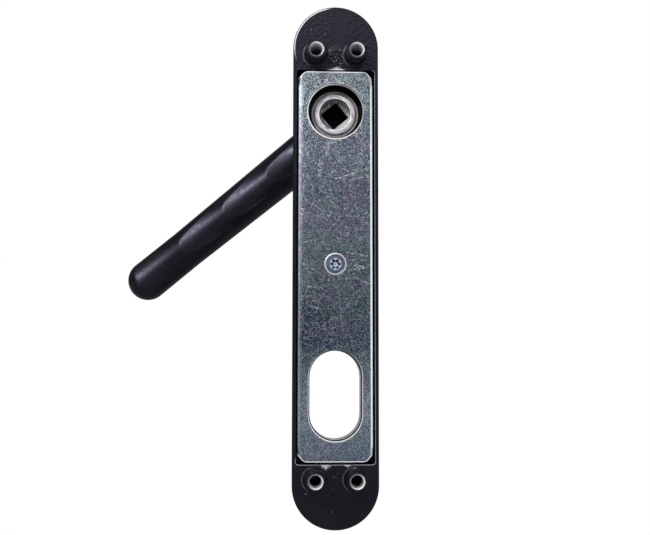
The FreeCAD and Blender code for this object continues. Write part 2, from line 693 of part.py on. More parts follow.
def make_drive_sleeve():
    """Turned sleeve with a bevelled rim, two flats, a round bore and the square socket for the spindle."""
    body = new_body("drive_sleeve")
    barrel = "Sizes.sleeve_diameter / 2"
    bore = "Sizes.sleeve_bore / 2"
    rim = "Sizes.rim_diameter / 2"
    profile = new_sketch(body, "sleeve_profile", "XY_Plane")
    draw_polygon(profile, [
        ("0", "Sizes.socket_start"),
        (bore, "Sizes.socket_start"),
        (bore, "Sizes.rim_face + Sizes.rim_chamfer"),
        (bore + " + Sizes.rim_chamfer", "Sizes.rim_face"),
        (rim + " - Sizes.rim_chamfer", "Sizes.rim_face"),
        (rim, "Sizes.rim_face + Sizes.rim_chamfer"),
        (rim, WASHER_FACE),
        (barrel, WASHER_FACE),
        (barrel, "Sizes.sleeve_end"),
        ("0", "Sizes.sleeve_end"),
    ])
    revolve(body, "Revolution", "sleeve_blank", profile)
    flats = new_sketch(body, "flats_outline", "XZ_Plane", out="-" + WASHER_FACE)
    for side in (-1, 1):
        draw_polygon(flats, [
            ("-Sizes.rim_diameter", "%d * Sizes.sleeve_flats / 2" % side),
            ("Sizes.rim_diameter", "%d * Sizes.sleeve_flats / 2" % side),
            ("Sizes.rim_diameter", "%d * Sizes.rim_diameter" % side),
            ("-Sizes.rim_diameter", "%d * Sizes.rim_diameter" % side),
        ])
    extrude(body, "Pocket", "flats", flats, "Sizes.sleeve_end")
    square = new_sketch(body, "socket_outline", "XZ_Plane")
    half = "Sizes.socket_square / 2"
    draw_rectangle(square, "-" + half, half, "-" + half, half)
    extrude(body, "Pocket", "square_socket", square, "Sizes.socket_end")
    cross = new_sketch(body, "pin_hole_outline", "XY_Plane", out="-Sizes.rim_diameter")
    draw_circle(cross, "0", "Sizes.pin_depth", "Sizes.pin_diameter / 2 + Sizes.seat_fit")
    hole = body.newObject("PartDesign::Pocket", "pin_hole")
    hole.Profile = cross
    hole.Reversed = True
    bind(hole, Length="2 * Sizes.rim_diameter")
    return place_on_hub(body)


def make_sleeve_pin():
    """Pin across the neck, through the solid end of the sleeve."""
    body = new_body("sleeve_pin")
    outline = new_sketch(body, "pin_outline", "XY_Plane")
    draw_circle(outline, "0", "Sizes.pin_depth", "Sizes.pin_diameter / 2")
    pin = body.newObject("PartDesign::Pad", "pin")
    pin.Profile = outline
    pin.Midplane = True
    bind(pin, Length="Sizes.neck_diameter - 2 * Sizes.pin_inset")
    return place_on_hub(body)


def make_lever():
    """Lever casting: shoulder, neck, elbow and round grip in one ruled loft, with the scallops cut in."""
    sections = []
    for number, (centre, heading, radius) in enumerate(lever_stations(), 1):
        section = doc.addObject("Part::Circle", "lever_section_%d" % number)
        bind(section, Radius=radius)
        section.Placement = FreeCAD.Placement(centre, heading)
        sections.append(section)
    loft = doc.addObject("Part::Loft", "lever_loft")
    loft.Sections = sections
    loft.Solid = True
    loft.Ruled = True
    disc = new_disc("shoulder_disc", "Sizes.shoulder_diameter / 2", SHOULDER_FACE, "Sizes.shoulder_height")
    doc.recompute()
    top = worked_out(SHOULDER_TOP)
    shoulder = doc.addObject("Part::Chamfer", "lever_shoulder")
    shoulder.Base = disc
    leg = sheet.get("shoulder_chamfer")
    bevelled = [number for number, edge in enumerate(disc.Shape.Edges, 1) if lies_at(edge, top)]
    shoulder.Edges = [(number, leg, leg) for number in bevelled]
    neck_start = FLANGE_FACE + " + Sizes.hub_play"
    neck = new_disc("lever_neck", NECK_RADIUS, neck_start, SHOULDER_FACE + PAST + " - (" + neck_start + ")")
    blank = new_fuse("lever_blank", [loft, shoulder, neck])
    bore_length = "Sizes.sleeve_end + Sizes.seat_fit - Sizes.rim_face"
    bore = new_double_flat("lever_bore", "Sizes.seat_fit", "Sizes.rim_face", bore_length)
    hole = doc.addObject("Part::Cylinder", "lever_pin_hole")
    bind(hole, Radius="Sizes.pin_diameter / 2 + Sizes.seat_fit", Height="2 * Sizes.neck_diameter")
    bind(hole, Placement__Base__y="Sizes.pin_depth", Placement__Base__z="-Sizes.neck_diameter")
    tools = new_fuse("lever_cuts", [bore, hole] + scallop_tools())
    return place_on_hub(new_boolean("Cut", "lever", blank, tools))


def lever_stations():
    """Give the loft's sections from neck to tip: centre, turn and radius."""
    depth = sheet.get("grip_depth")
    elbow = sheet.get("elbow_radius")
    bend_start = depth - elbow
    root = "Sizes.root_diameter / 2"
    waist = "Sizes.waist_diameter / 2"
    tip = "Sizes.tip_diameter / 2"
    stations = [(Vector(0, worked_out(SHOULDER_TOP) - 1, 0), heading_at(0), NECK_RADIUS)]
    for turn in range(0, 90, ELBOW_STEP):
        angle = math.radians(turn)
        centre = Vector(elbow * (1 - math.cos(angle)), bend_start + elbow * math.sin(angle), 0)
        stations.append((centre, heading_at(turn), blend(NECK_RADIUS, root, turn / 90)))
    waist_reach = sheet.get("waist_reach")
    dome_start = worked_out(DOME_START)
    for count, start, end, first, last in (
        (WAIST_STATIONS, elbow, waist_reach, root, waist),
        (TIP_STATIONS, waist_reach, dome_start, waist, tip),
    ):
        for number in range(count):
            share = number / count
            centre = Vector(start + share * (end - start), depth, 0)
            stations.append((centre, heading_at(90), blend(first, last, share)))
    for turn in DOME_ANGLES:
        angle = math.radians(turn)
        reach = dome_start + sheet.get("tip_radius") * math.sin(angle)
        stations.append((Vector(reach, depth, 0), heading_at(90), tip + " * %f" % math.cos(angle)))
    return stations


def blend(first, last, share):
    """Mix two radii by the share of the way from the first to the last."""
    return "(%s) * %f + (%s) * %f" % (first, 1 - share, last, share)


def heading_at(turn):
    """Turn a section's plane across the lever's centre line, from along Y (0) to along X (90)."""
    angle = math.radians(turn)
    along = Vector(math.sin(angle), math.cos(angle), 0)
    return Rotation(Vector(0, 0, 1), Vector(math.cos(angle), -math.sin(angle), 0), along, "ZXY")


def scallop_tools():
    """Make the shallow round cuts for the fingers, side by side along the grip's door side.

    Each roller's surface meets its neighbours' in ridges, which lie at one depth in the tapering bar.
    """
    rows = [("near", "Sizes.near_scallop_start", "Sizes.ridge_first", "Sizes.near_scallop_radius")]
    for number in range(FULL_SCALLOPS):
        start = "(Sizes.ridge_first + %d * Sizes.ridge_pitch)" % number
        end = "(Sizes.ridge_first + %d * Sizes.ridge_pitch)" % (number + 1)
        rows.append(("%d" % (number + 1), start, end, "Sizes.scallop_radius"))
    tools = []
    for name, start, end, radius in rows:
        middle = "((" + start + " + " + end + ") / 2)"
        rise = "(" + middle + " - Sizes.elbow_radius) * " + TAPER
        rear = "(Sizes.grip_depth - Sizes.root_diameter / 2 + " + rise + ")"
        reach = "sqrt(" + radius + "^2 - ((" + end + " - " + start + ") / 2)^2)"
        roller = doc.addObject("Part::Cylinder", "scallop_roller_" + name)
        bind(roller, Radius=radius, Height="2 * Sizes.root_diameter")
        bind(roller, Placement__Base__x=middle + " + " + reach + " * sin(" + TILT + ")")
        bind(roller, Placement__Base__y=rear + " + Sizes.ridge_depth - " + reach + " * cos(" + TILT + ")")
        bind(roller, Placement__Base__z="-Sizes.root_diameter")
        limit = doc.addObject("Part::Box", "scallop_limit_" + name)
        bind(limit, Length=end + " - " + start, Width="Sizes.root_diameter")
        bind(limit, Height="2 * Sizes.root_diameter")
        bind(limit, Placement__Base__x=start, Placement__Base__y=rear + " - Sizes.root_diameter / 2")
        bind(limit, Placement__Base__z="-Sizes.root_diameter")
        tools.append(new_boolean("Common", "scallop_" + name, roller, limit))
    return tools


def check_document():
    """Stop if any object of the document failed to build."""
    for item in doc.Objects:
        if "Invalid" in item.State or "Error" in item.State:
            raise RuntimeError("%s is in state %s" % (item.Name, item.State))


def write_parts(pieces):
    """Check each sub-part's shape and write it to its own file."""
    os.makedirs("parts", exist_ok=True)
    for piece in pieces:
        shape = piece.Shape
        if shape.isNull() or not shape.isValid() or not shape.Solids:
            raise RuntimeError("%s has no valid solid" % piece.Label)
    for piece in pieces:
        piece.Shape.exportStep("parts/%s.step" % piece.Label)
        print("%-18s %2d solid(s) %10.1f mm3" % (piece.Label, len(piece.Shape.Solids), piece.Shape.Volume))


fill_sheet()
parts = [
    make_cover_plate(),
    make_rear_plate(),
    make_plate_screw(),
    make_neck_bush(),
    make_thrust_washer(),
    make_spring_washer(),
    make_retaining_washer(),
    make_stop_ring(),
    make_drive_sleeve(),
    make_sleeve_pin(),
    make_lever(),
]
doc.recompute()
check_document()
write_parts(parts)
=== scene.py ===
"""Balcony door handle seen from its door side: dressed model, studio and camera.

Sizes are in millimetres and become metres where a mesh, a lamp or the camera is made.
X runs across the plate, Z up along it, and Y from the door side to the lever side.
"""

import json
import logging
import math
from collections.abc import Callable
from dataclasses import dataclass
from enum import Enum
from functools import partialmethod, reduce
from operator import and_, or_

import bmesh
import bpy
import numpy as np
from mathutils import Matrix, Vector

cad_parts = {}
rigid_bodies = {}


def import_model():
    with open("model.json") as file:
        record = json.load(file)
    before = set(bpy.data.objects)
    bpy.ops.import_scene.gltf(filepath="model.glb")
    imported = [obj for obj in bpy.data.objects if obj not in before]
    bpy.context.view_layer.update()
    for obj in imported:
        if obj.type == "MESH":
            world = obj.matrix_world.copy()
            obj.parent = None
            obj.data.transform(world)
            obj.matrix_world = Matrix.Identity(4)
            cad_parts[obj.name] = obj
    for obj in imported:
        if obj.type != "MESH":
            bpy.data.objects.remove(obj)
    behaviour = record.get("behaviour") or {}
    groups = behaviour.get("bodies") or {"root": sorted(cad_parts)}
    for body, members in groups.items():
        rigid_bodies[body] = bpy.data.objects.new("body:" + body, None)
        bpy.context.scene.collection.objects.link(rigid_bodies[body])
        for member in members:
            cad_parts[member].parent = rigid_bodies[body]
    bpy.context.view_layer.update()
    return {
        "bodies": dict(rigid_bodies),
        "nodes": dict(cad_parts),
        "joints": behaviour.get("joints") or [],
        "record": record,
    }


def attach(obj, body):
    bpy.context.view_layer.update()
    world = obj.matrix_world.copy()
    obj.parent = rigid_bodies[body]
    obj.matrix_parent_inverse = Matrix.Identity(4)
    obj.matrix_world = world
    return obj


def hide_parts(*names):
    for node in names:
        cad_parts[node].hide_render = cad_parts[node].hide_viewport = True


log = logging.getLogger("balcony_handle")

MM = 0.001

# Axes of the four bosses, either side of the plate's middle: across and up.
BOSS = (8.1, 85.25)
# Middle of the rear plate, its half length, and the corner where its clipped edge meets its end.
SHEET_ACROSS, SHEET_UP = -0.13, -0.2
SHEET_REACH = 78.4
CLIP_CORNER = 12.25
# Height of the spindle's axis, and how many degrees the lever is turned about it from +X.
HUB_UP = 61.9
LEVER_TURN = 140.35
# Parts of a noise's range: where two tones part softly, and what the roughness follows.
CLOUDY = (0.35, 0.7)
UNEVEN = (0.2, 0.8)
# Gaps in metres up to which points are one, in a skin of our own and in a CAD node's copy.
POLE_GAP = 1e-7
WELD_GAP = 2e-6
# Angles in degrees: up to which a copy's triangles are one face, and from which an edge is rounded.
FLAT_ANGLE = 0.5
SHARP_ANGLE = 38.0


class Body(Enum):
    """The two bodies of the handle that move against each other."""

    PLATE = "plate"
    HANDLE = "handle"


class Slot(Enum):
    """The record's material slots."""

    CASTING = "black_coated_casting"
    SHEET = "zinc_plated_sheet"
    FASTENER = "zinc_plated_fastener"
    TURNED = "zinc_plated_turned"
    WASHER = "dull_plated_washer"


# Colours, nodes, fields and objects


def linear(code: str) -> tuple[float, float, float, float]:
    """Turn an sRGB hex colour into linear light.

    Args:
        code: the colour as "#rrggbb".

    Returns:
        Red, green, blue and a full alpha.
    """
    parts = [int(code[place : place + 2], 16) / 255 for place in (1, 3, 5)]
    light = [part / 12.92 if part <= 0.04045 else ((part + 0.055) / 1.055) ** 2.4 for part in parts]
    return (*light, 1.0)


def add_node(tree: bpy.types.NodeTree, kind: str, wires: dict | None = None, **settings) -> bpy.types.Node:
    """Add a node with its settings, values and links.

    Args:
        tree: the node tree that gets the node.
        kind: the node's type without the word ShaderNode.
        wires: for inputs by name or number, a field or socket to link, a hex colour or a value.
        **settings: the node's own settings.

    Returns:
        The new node.
    """
    node = tree.nodes.new("ShaderNode" + kind)
    for name, value in settings.items():
        setattr(node, name, value)
    for name, value in (wires or {}).items():
        source = value.socket if isinstance(value, Field) else value
        if isinstance(source, bpy.types.NodeSocket):
            tree.links.new(source, node.inputs[name])
        else:
            node.inputs[name].default_value = linear(source) if isinstance(source, str) else source
    return node


def empty_tree(owner: bpy.types.Material | bpy.types.World) -> bpy.types.NodeTree:
    """Give a material or the surroundings a node tree with nothing in it.

    Args:
        owner: what gets the tree.

    Returns:
        The tree.
    """
    owner.use_nodes = True
    owner.node_tree.nodes.clear()
    return owner.node_tree


def add_object(name: str, data: bpy.types.ID) -> bpy.types.Object:
    """Put a mesh, a lamp or a lens in the scene.

    Args:
        name: the object's name.
        data: what it shows.

    Returns:
        The object, at the origin.
    """
    holder = bpy.data.objects.new(name, data)
    bpy.context.scene.collection.objects.link(holder)
    return holder


@dataclass(frozen=True)
class Field:
    """A number that varies over a surface. Reckoning with it adds nodes that do so in its tree."""

    socket: bpy.types.NodeSocket

    def reckon(self, operation: str, *others: "Field | float") -> "Field":
        """Put this and up to two more numbers through an operation."""
        wires = dict(enumerate((self, *others)))
        return Field(add_node(self.socket.id_data, "Math", wires, operation=operation).outputs[0])

    # Arithmetic with fields and plain numbers: & is the smaller of two and | the larger, so of two
    # masks * is both and | is either.
    __add__ = partialmethod(reckon, "ADD")
    __sub__ = partialmethod(reckon, "SUBTRACT")
    __mul__ = partialmethod(reckon, "MULTIPLY")
    __truediv__ = partialmethod(reckon, "DIVIDE")
    __and__ = partialmethod(reckon, "MINIMUM")
    __or__ = partialmethod(reckon, "MAXIMUM")
    __abs__ = partialmethod(reckon, "ABSOLUTE")

    def __rsub__(self, other: float) -> "Field":
        """What is left of a plain number."""
        return self.reckon("MULTIPLY_ADD", -1.0, other)

    def hypot(self, other: "Field") -> "Field":
        """The long side of a right angle with these two legs."""
        return (self * self + other * other).reckon("SQRT")

    def ramp(self, low: float, high: float, start: float = 0.0, end: float = 1.0) -> "Field":
        """Ease from start at low to end at high.

        Args:
            low: where the change begins.
            high: where it is done.
            start: the result up to low.
            end: the result from high on.

        Returns:
            The eased field.
        """
        wires = {"Value": self, "From Min": low, "From Max": high, "To Min": start, "To Max": end}
        node = add_node(self.socket.id_data, "MapRange", wires, interpolation_type="SMOOTHSTEP")
        return Field(node.outputs["Result"])

    def fall(self, low: float, high: float, start: float = 1.0) -> "Field":
        """Ease from start at low down to 0 at high."""
        return self.ramp(low, high, start, 0.0)

    def near(self, reach: float, fade: float) -> "Field":
        """1 nearer than reach, easing to 0 over the fade."""
        return self.fall(reach - fade / 2, reach + fade / 2)


class Surface:
    """Where a point of a piece lies, in millimetres, and the patterns that its finish is made of."""

    def __init__(self, tree: bpy.types.NodeTree) -> None:
        """Read the Object coordinates once, in millimetres, and split them.

        Args:
            tree: the node tree of the material that is being made.
        """
        self.tree = tree
        metres = add_node(tree, "TexCoord").outputs["Object"]
        self.place = add_node(tree, "Mapping", {"Vector": metres, "Scale": (1 / MM,) * 3}).outputs[0]
        split = add_node(tree, "SeparateXYZ", {"Vector": self.place})
        self.across, self.deep, self.up = (Field(output) for output in split.outputs)

    def grains(self, size: float, seed: float, stretch: tuple = (1, 1, 1)) -> bpy.types.NodeSocket:
        """Count the place in grains of a size, moved by a seed so that two patterns differ.

        Args:
            size: how wide a grain is.
            seed: how many grains the pattern is moved by.
            stretch: how many times denser the grains are along each axis.

        Returns:
            The place in grains.
        """
        scale = [density / size for density in stretch]
        wires = {"Vector": self.place, "Scale": scale, "Location": [seed] * 3}
        return add_node(self.tree, "Mapping", wires).outputs[0]

    def noise(self, size: float, detail: float = 2.0, seed: float = 0.0, stretch: tuple = (1, 1, 1)) -> Field:
        """Make a cloudy pattern.

        Args:
            size: how wide a cloud is.
            detail: how many finer layers are added.
            seed: moves the pattern.
            stretch: how many times denser the pattern is along each axis.

        Returns:
            The pattern, from 0 to 1.
        """
        wires = {"Vector": self.grains(size, seed, stretch), "Scale": 1.0, "Detail": detail, "Roughness": 0.6}
        return Field(add_node(self.tree, "TexNoise", wires).outputs["Fac"])

    def crystals(self, size: float, seed: float) -> tuple[Field, Field]:
        """Give every crystal of a plating two random numbers of its own.

        Args:
            size: how far the crystals' middles are apart.
            seed: moves the pattern.

        Returns:
            Two numbers from 0 to 1.
        """
        crystal = add_node(self.tree, "TexVoronoi", {"Vector": self.grains(size, seed), "Scale": 1.0})
        parts = add_node(self.tree, "SeparateColor", {0: crystal.outputs["Color"]}).outputs
        return Field(parts[0]), Field(parts[1])

    def pebbles(self, size: float, seed: float) -> Field:
        """Make the rounded pebbles of leather grain.

        Args:
            size: how far the pebbles' middles are apart.
            seed: moves the pattern.

        Returns:
            1 at a pebble's middle, falling smoothly to its edge.
        """
        wires = {"Vector": self.grains(size, seed), "Scale": 1.0, "Smoothness": 0.5}
        pebble = add_node(self.tree, "TexVoronoi", wires, feature="SMOOTH_F1")
        return 1.0 - Field(pebble.outputs["Distance"])

    def lathe_marks(self, up: float, width: float, turns: float, seed: float) -> Field:
        """Make noise drawn out round an axis along Y, as a lathe's marks are.

        Args:
            up: the axis's height, in the plate's middle.
            width: width of a mark.
            turns: how often it changes round the axis.
            seed: moves the pattern.

        Returns:
            The noise, from 0 to 1.
        """
        out = self.distance(0.0, up)
        wires = {0: self.across / out * turns, 1: (self.up - up) / out * turns, 2: out / width + seed}
        place = add_node(self.tree, "CombineXYZ", wires).outputs[0]
        return Field(add_node(self.tree, "TexNoise", {"Vector": place, "Scale": 1.0}).outputs["Fac"])

    def distance(self, across: float, up: float) -> Field:
        """Distance from an axis along Y through a point of the plate."""
        return (self.across - across).hypot(self.up - up)

    def rectangle(self, left: float, right: float, low: float, high: float, corner: float) -> Field:
        """Distance outside an upright rectangle with round corners.

        Args:
            left: its left edge.
            right: its right edge.
            low: its lower edge.
            high: its upper edge.
            corner: radius of its corners. With half its width, its ends are half circles.

        Returns:
            The distance, 0 or less inside it.
        """
        past = []
        for place, start, end in ((self.across, left, right), (self.up, low, high)):
            past.append((abs(place - (start + end) / 2) - ((end - start) / 2 - corner)) | 0.0)
        return past[0].hypot(past[1]) - corner

    def line(self, start: tuple[float, float], end: tuple[float, float]) -> Field:
        """Distance from a straight line.

        Args:
            start: where it starts, across and up.
            end: where it ends.

        Returns:
            The distance.
        """
        length = math.dist(start, end)
        across, up = (end[0] - start[0]) / length, (end[1] - start[1]) / length
        aside, above = self.across - start[0], self.up - start[1]
        run = aside * across + above * up
        off = above * across - aside * up
        return (run - ((run | 0.0) & length)).hypot(off)

    def paint(self, base: object, *coats: tuple) -> bpy.types.NodeSocket:
        """Lay colours over a base, one after another.

        Args:
            base: the lowest colour, a hex colour or a socket.
            *coats: share from 0 to 1 and colour of each.

        Returns:
            The colour that shows.
        """
        for share, colour in coats:
            base = add_node(self.tree, "Mix", {0: share, 6: base, 7: colour}, data_type="RGBA").outputs[2]
        return base

    def bump(self, height: Field, depth: float, **more) -> bpy.types.NodeSocket:
        """Turn a height from 0 to 1 into a bumped normal of a real depth; more are the node's inputs."""
        wires = {"Height": height, "Distance": depth * MM, **more}
        return add_node(self.tree, "Bump", wires).outputs["Normal"]


# Finishes


@dataclass(frozen=True)
class Finish:
    """A finish with its plain name. Each kind says in inputs what its shader gets."""

    name: str

    def inputs(self, on: Surface) -> dict[str, object]:
        """Work out the shader's inputs for a surface, by name: none for a plain shader."""
        return {}

    def make(self) -> bpy.types.Material:
        """Build the material.

        Returns:
            The material with its one shader.
        """
        material = bpy.data.materials.new(self.name)
        tree = empty_tree(material)
        shader = add_node(tree, "BsdfPrincipled", self.inputs(Surface(tree)))
        add_node(tree, "OutputMaterial", {"Surface": shader.outputs[0]})
        return material


@dataclass(frozen=True)
class PowderCoat(Finish):
    """Black epoxy powder coat, sprayed dry and baked on a light-alloy die-casting."""

    # The powder flows out as it bakes: a satin, bluish black with soft highlights and faint orange peel.
    name: str = "black_powder_coat"
    colour: str = "#08080c"
    pale: str = "#0e0e14"
    cloud: float = 14.0
    peel: float = 2.2
    peel_depth: float = 0.003
    roughness: tuple = (0.32, 0.43)
    sheen: str = "#d2d2f0"

    def inputs(self, on: Surface) -> dict[str, object]:
        """Work out the coat without wear, as on the lever.

        Args:
            on: the surface that it lies on.

        Returns:
            The shader's inputs.
        """
        peel = on.noise(self.peel)
        return {
            "Base Color": on.paint(self.colour, (on.noise(self.cloud, 3.0).ramp(*CLOUDY), self.pale)),
            "Roughness": peel.ramp(*UNEVEN, *self.roughness),
            "Normal": on.bump(peel, self.peel_depth),
            "Specular Tint": self.sheen,
        }


@dataclass(frozen=True)
class WornPowderCoat(PowderCoat):
    """The same coat on the cover, with a leather grain at the upper end, years of wear, and painted
    highlights and shade.
    """

    # Thick powder keeps a leather grain, and knocks chip it down to pale bare metal. Pale lines along
    # some edges are painted highlights.
    name: str = "black_powder_coat_worn"
    cloud: float = 9.0
    roughness: tuple = (0.26, 0.38)
    # Leather grain at the upper end: size, depth, from which height to which it comes in, and the colour
    # of its pebbles' tops, a painted highlight.
    grain: float = 1.05
    grain_depth: float = 0.13
    grain_up: tuple = (60.0, 84.0)
    grain_top_highlight: str = "#24242d"
    # Depths where the wear of the door side ends: on the end faces, and inside the tapped holes.
    face: tuple = (0.8, 2.4)
    behind: tuple = (4.0, 5.0)
    # A wrinkled patch between the upper bosses: its middle, reach, fade, and the painted highlight on its
    # crests and painted shade in its cracks.
    wrinkle: float = 0.62
    wrinkle_depth: float = 0.8
    patch: tuple = (0.7, 84.0)
    patch_reach: float = 5.3
    patch_fade: float = 2.6
    patch_ragged: float = 3.0
    wrinkle_highlight: str = "#c4c4cb"
    wrinkle_highlight_band: tuple = (0.605, 0.645)
    wrinkle_shade: str = "#030305"
    wrinkle_shade_band: tuple = (0.42, 0.5)
    # Bare mouths of the bosses, with a painted highlight towards +X and away from the plate's middle, and
    # painted shade on their other side.
    mouth_reach: float = 3.06
    mouth: str = "#fbfbff"
    mouth_painted_shade: str = "#77797f"
    mouth_highlight_lean: tuple = (0.8, 0.6)
    mouth_highlight_reach: tuple = (-1.8, 2.2)
    # Painted highlight along a boss's foot, on its -X side: edge radius, where it fades out, how strong.
    foot_edge: float = 5.2
    foot_highlight_side: tuple = (-4.8, -1.6, 0.26)
    # Reach and fade of a thin painted highlight: along a foot, and along the pocket's edge.
    foot_line: tuple = (0.08, 0.12)
    pocket_line: tuple = (0.16, 0.2)
    # Chips: bare metal with a brown margin, ragged by a share of their size. In chip_field, where the
    # margin starts and is full, and where the coat begins; depths between which there are chips.
    chip: str = "#c3c6cd"
    chip_shade: str = "#5c4f4d"
    chip_ragged: float = 1.3
    chip_notch: float = 0.7
    chip_margin: tuple = (0.5, 0.85)
    chip_outline: tuple = (0.85, 0.95)
    chip_depths: tuple = (-1.6, -0.8, 0.3, 0.9)
    bare_metallic: float = 0.55
    # Where chips lie along the pocket's edge: across, up, half length and half height.
    chips: tuple = (
        (0.5, 78.75, 4.8, 1.8),
        (-3.9, -79.4, 3.3, 2.9),
        (4.8, -79.4, 2.8, 1.5),
        (7.5, -81.0, 1.1, 0.6),
    )
    # Small light specks in the coat: how soft, and across, up and reach of each.
    speck_fade: float = 0.15
    specks: tuple = (
        (-10.1, 95.7, 0.15),
        (-4.4, 93.7, 0.13),
        (-0.6, -84.2, 0.12),
        (0.6, -83.1, 0.1),
        (-1.0, -88.9, 0.1),
        (-11.6, -90.8, 0.17),
        (-1.4, -97.8, 0.12),
    )
    # Painted highlight inside the rim of the upper end, towards -X, in the colour of every edge's painted
    # highlight: the end's middle, and the rim's radii.
    edge_highlight: str = "#cdd0d8"
    end_up: float = 87.75
    rim_highlight_inner: tuple = (16.39, 16.59)
    rim_highlight_outer: tuple = (16.79, 16.94)
    rim_highlight_across: tuple = (-5.0, -1.0)
    rim_highlight_up: tuple = (82.0, 90.0)
    rim_highlight_piece: float = 0.8
    # The pocket's edge: left, right, low, high and corner radius. It carries a painted highlight at its
    # lower end and its +X side, each from where to where and how much, and down to a depth.
    pocket: tuple = (-15.75, 15.75, -79.55, 78.75, 1.2)
    pocket_low: tuple = (-78.5, -76.0, 0.5)
    pocket_right: tuple = (14.0, 15.5, 0.0, 0.35)
    pocket_deep: tuple = (0.25, 0.5)

    def chip_field(self, on: Surface) -> Field:
        """Tell how far out of a chip a point is: |across| / length + |up| / height, made ragged.

        Args:
            on: the surface.

        Returns:
            Lowest at a chip's middle, about 1 at its outline.
        """
        reaches = [abs(on.across - x) / long + abs(on.up - z) / high for x, z, long, high in self.chips]
        proud, level, sunk, bottom = self.chip_depths
        past = on.deep.fall(proud, level, 4.0) + on.deep.ramp(sunk, bottom, 0.0, 4.0)
        ragged = (on.noise(self.chip_notch, 3.0, 3.0) - 0.5) * self.chip_ragged
        return reduce(and_, reaches) + past + ragged

    def rim_highlight_mask(self, on: Surface) -> Field:
        """Find the painted highlight inside the rim of the upper end, towards -X.

        Args:
            on: the surface.

        Returns:
            The mask.
        """
        out = on.distance(0.0, self.end_up)
        rim = out.ramp(*self.rim_highlight_inner) * out.fall(*self.rim_highlight_outer)
        corner = on.across.fall(*self.rim_highlight_across) * on.up.ramp(*self.rim_highlight_up)
        return rim * corner * on.noise(self.rim_highlight_piece, seed=21.0).ramp(0.25, 0.45)

    def pocket_highlight_mask(self, on: Surface) -> Field:
        """Find the painted highlight along the pocket's edge, at its lower end and its +X side.

        Args:
            on: the surface.

        Returns:
            The mask.
        """
        sides = on.up.fall(*self.pocket_low) | on.across.ramp(*self.pocket_right)
        sides = sides * on.deep.fall(*self.pocket_deep)
        return abs(on.rectangle(*self.pocket)).near(*self.pocket_line) * sides

    def from_boss(self, on: Surface) -> tuple[Field, Field]:
        """How far a point lies from the nearest boss's axis, towards +X and away from the plate's middle."""
        return on.across - on.across.reckon("SIGN") * BOSS[0], abs(on.up) - BOSS[1]

    def inputs(self, on: Surface) -> dict[str, object]:
        """Work out the coat, its grain and its wear.

        Args:
            on: the surface that it lies on.

        Returns:
            The shader's inputs.
        """
        face = on.deep.fall(*self.face)
        top_end = on.up.ramp(*self.grain_up) * face
        grain = on.pebbles(self.grain, 7.0)
        wrinkle = on.noise(self.wrinkle, 4.0, 11.0)
        ragged = on.distance(*self.patch) + on.noise(3.0) * self.patch_ragged
        patch = ragged.near(self.patch_reach, self.patch_fade) * face
        aside, outward = self.from_boss(on)
        from_axis = aside.hypot(outward)
        mouth = from_axis.near(self.mouth_reach, 0.1) * on.deep.fall(*self.behind)
        # A painted highlight along the -X side of each boss's foot.
        foot = abs(from_axis - self.foot_edge).near(*self.foot_line) * aside.fall(*self.foot_highlight_side) * face
        specks = [on.distance(x, z).near(reach, self.speck_fade) for x, z, reach in self.specks]
        specks = reduce(or_, specks) * face
        chips = self.chip_field(on)
        bare = chips.fall(*self.chip_outline) | specks | mouth
        # Painted highlights on pebble tops, wrinkle crests and edges, and painted shade in wrinkle cracks.
        coat = on.paint(
            self.colour,
            (on.noise(self.cloud, 3.0).ramp(*CLOUDY), self.pale),
            (grain.ramp(0.6, 0.95, 0.0, 0.5) * top_end, self.grain_top_highlight),
            (wrinkle.fall(*self.wrinkle_shade_band) * patch, self.wrinkle_shade),
            (wrinkle.ramp(*self.wrinkle_highlight_band) * patch, self.wrinkle_highlight),
            (self.rim_highlight_mask(on) * face, self.edge_highlight),
            (self.pocket_highlight_mask(on) | foot, self.edge_highlight),
        )
        # One side of each bare mouth is a painted highlight, the other painted shade.
        mouth_highlight = (aside * self.mouth_highlight_lean[0] + outward * self.mouth_highlight_lean[1]).ramp(*self.mouth_highlight_reach)
        margin = chips.ramp(*self.chip_margin) * (1.0 - specks)
        cut = on.paint(self.mouth_painted_shade, (mouth_highlight, self.mouth))
        metal = on.paint(self.chip, (margin, self.chip_shade), (mouth, cut))
        leather = on.bump(grain * top_end.ramp(0.0, 1.0, 0.2, 1.0) * (1.0 - mouth), self.grain_depth)
        return {
            "Base Color": on.paint(coat, (bare, metal)),
            "Metallic": bare * self.bare_metallic,
            "Roughness": on.noise(self.peel).ramp(*UNEVEN, *self.roughness),
            "Normal": on.bump(wrinkle * patch, self.wrinkle_depth, Normal=leather),
            "Specular Tint": self.sheen,
        }


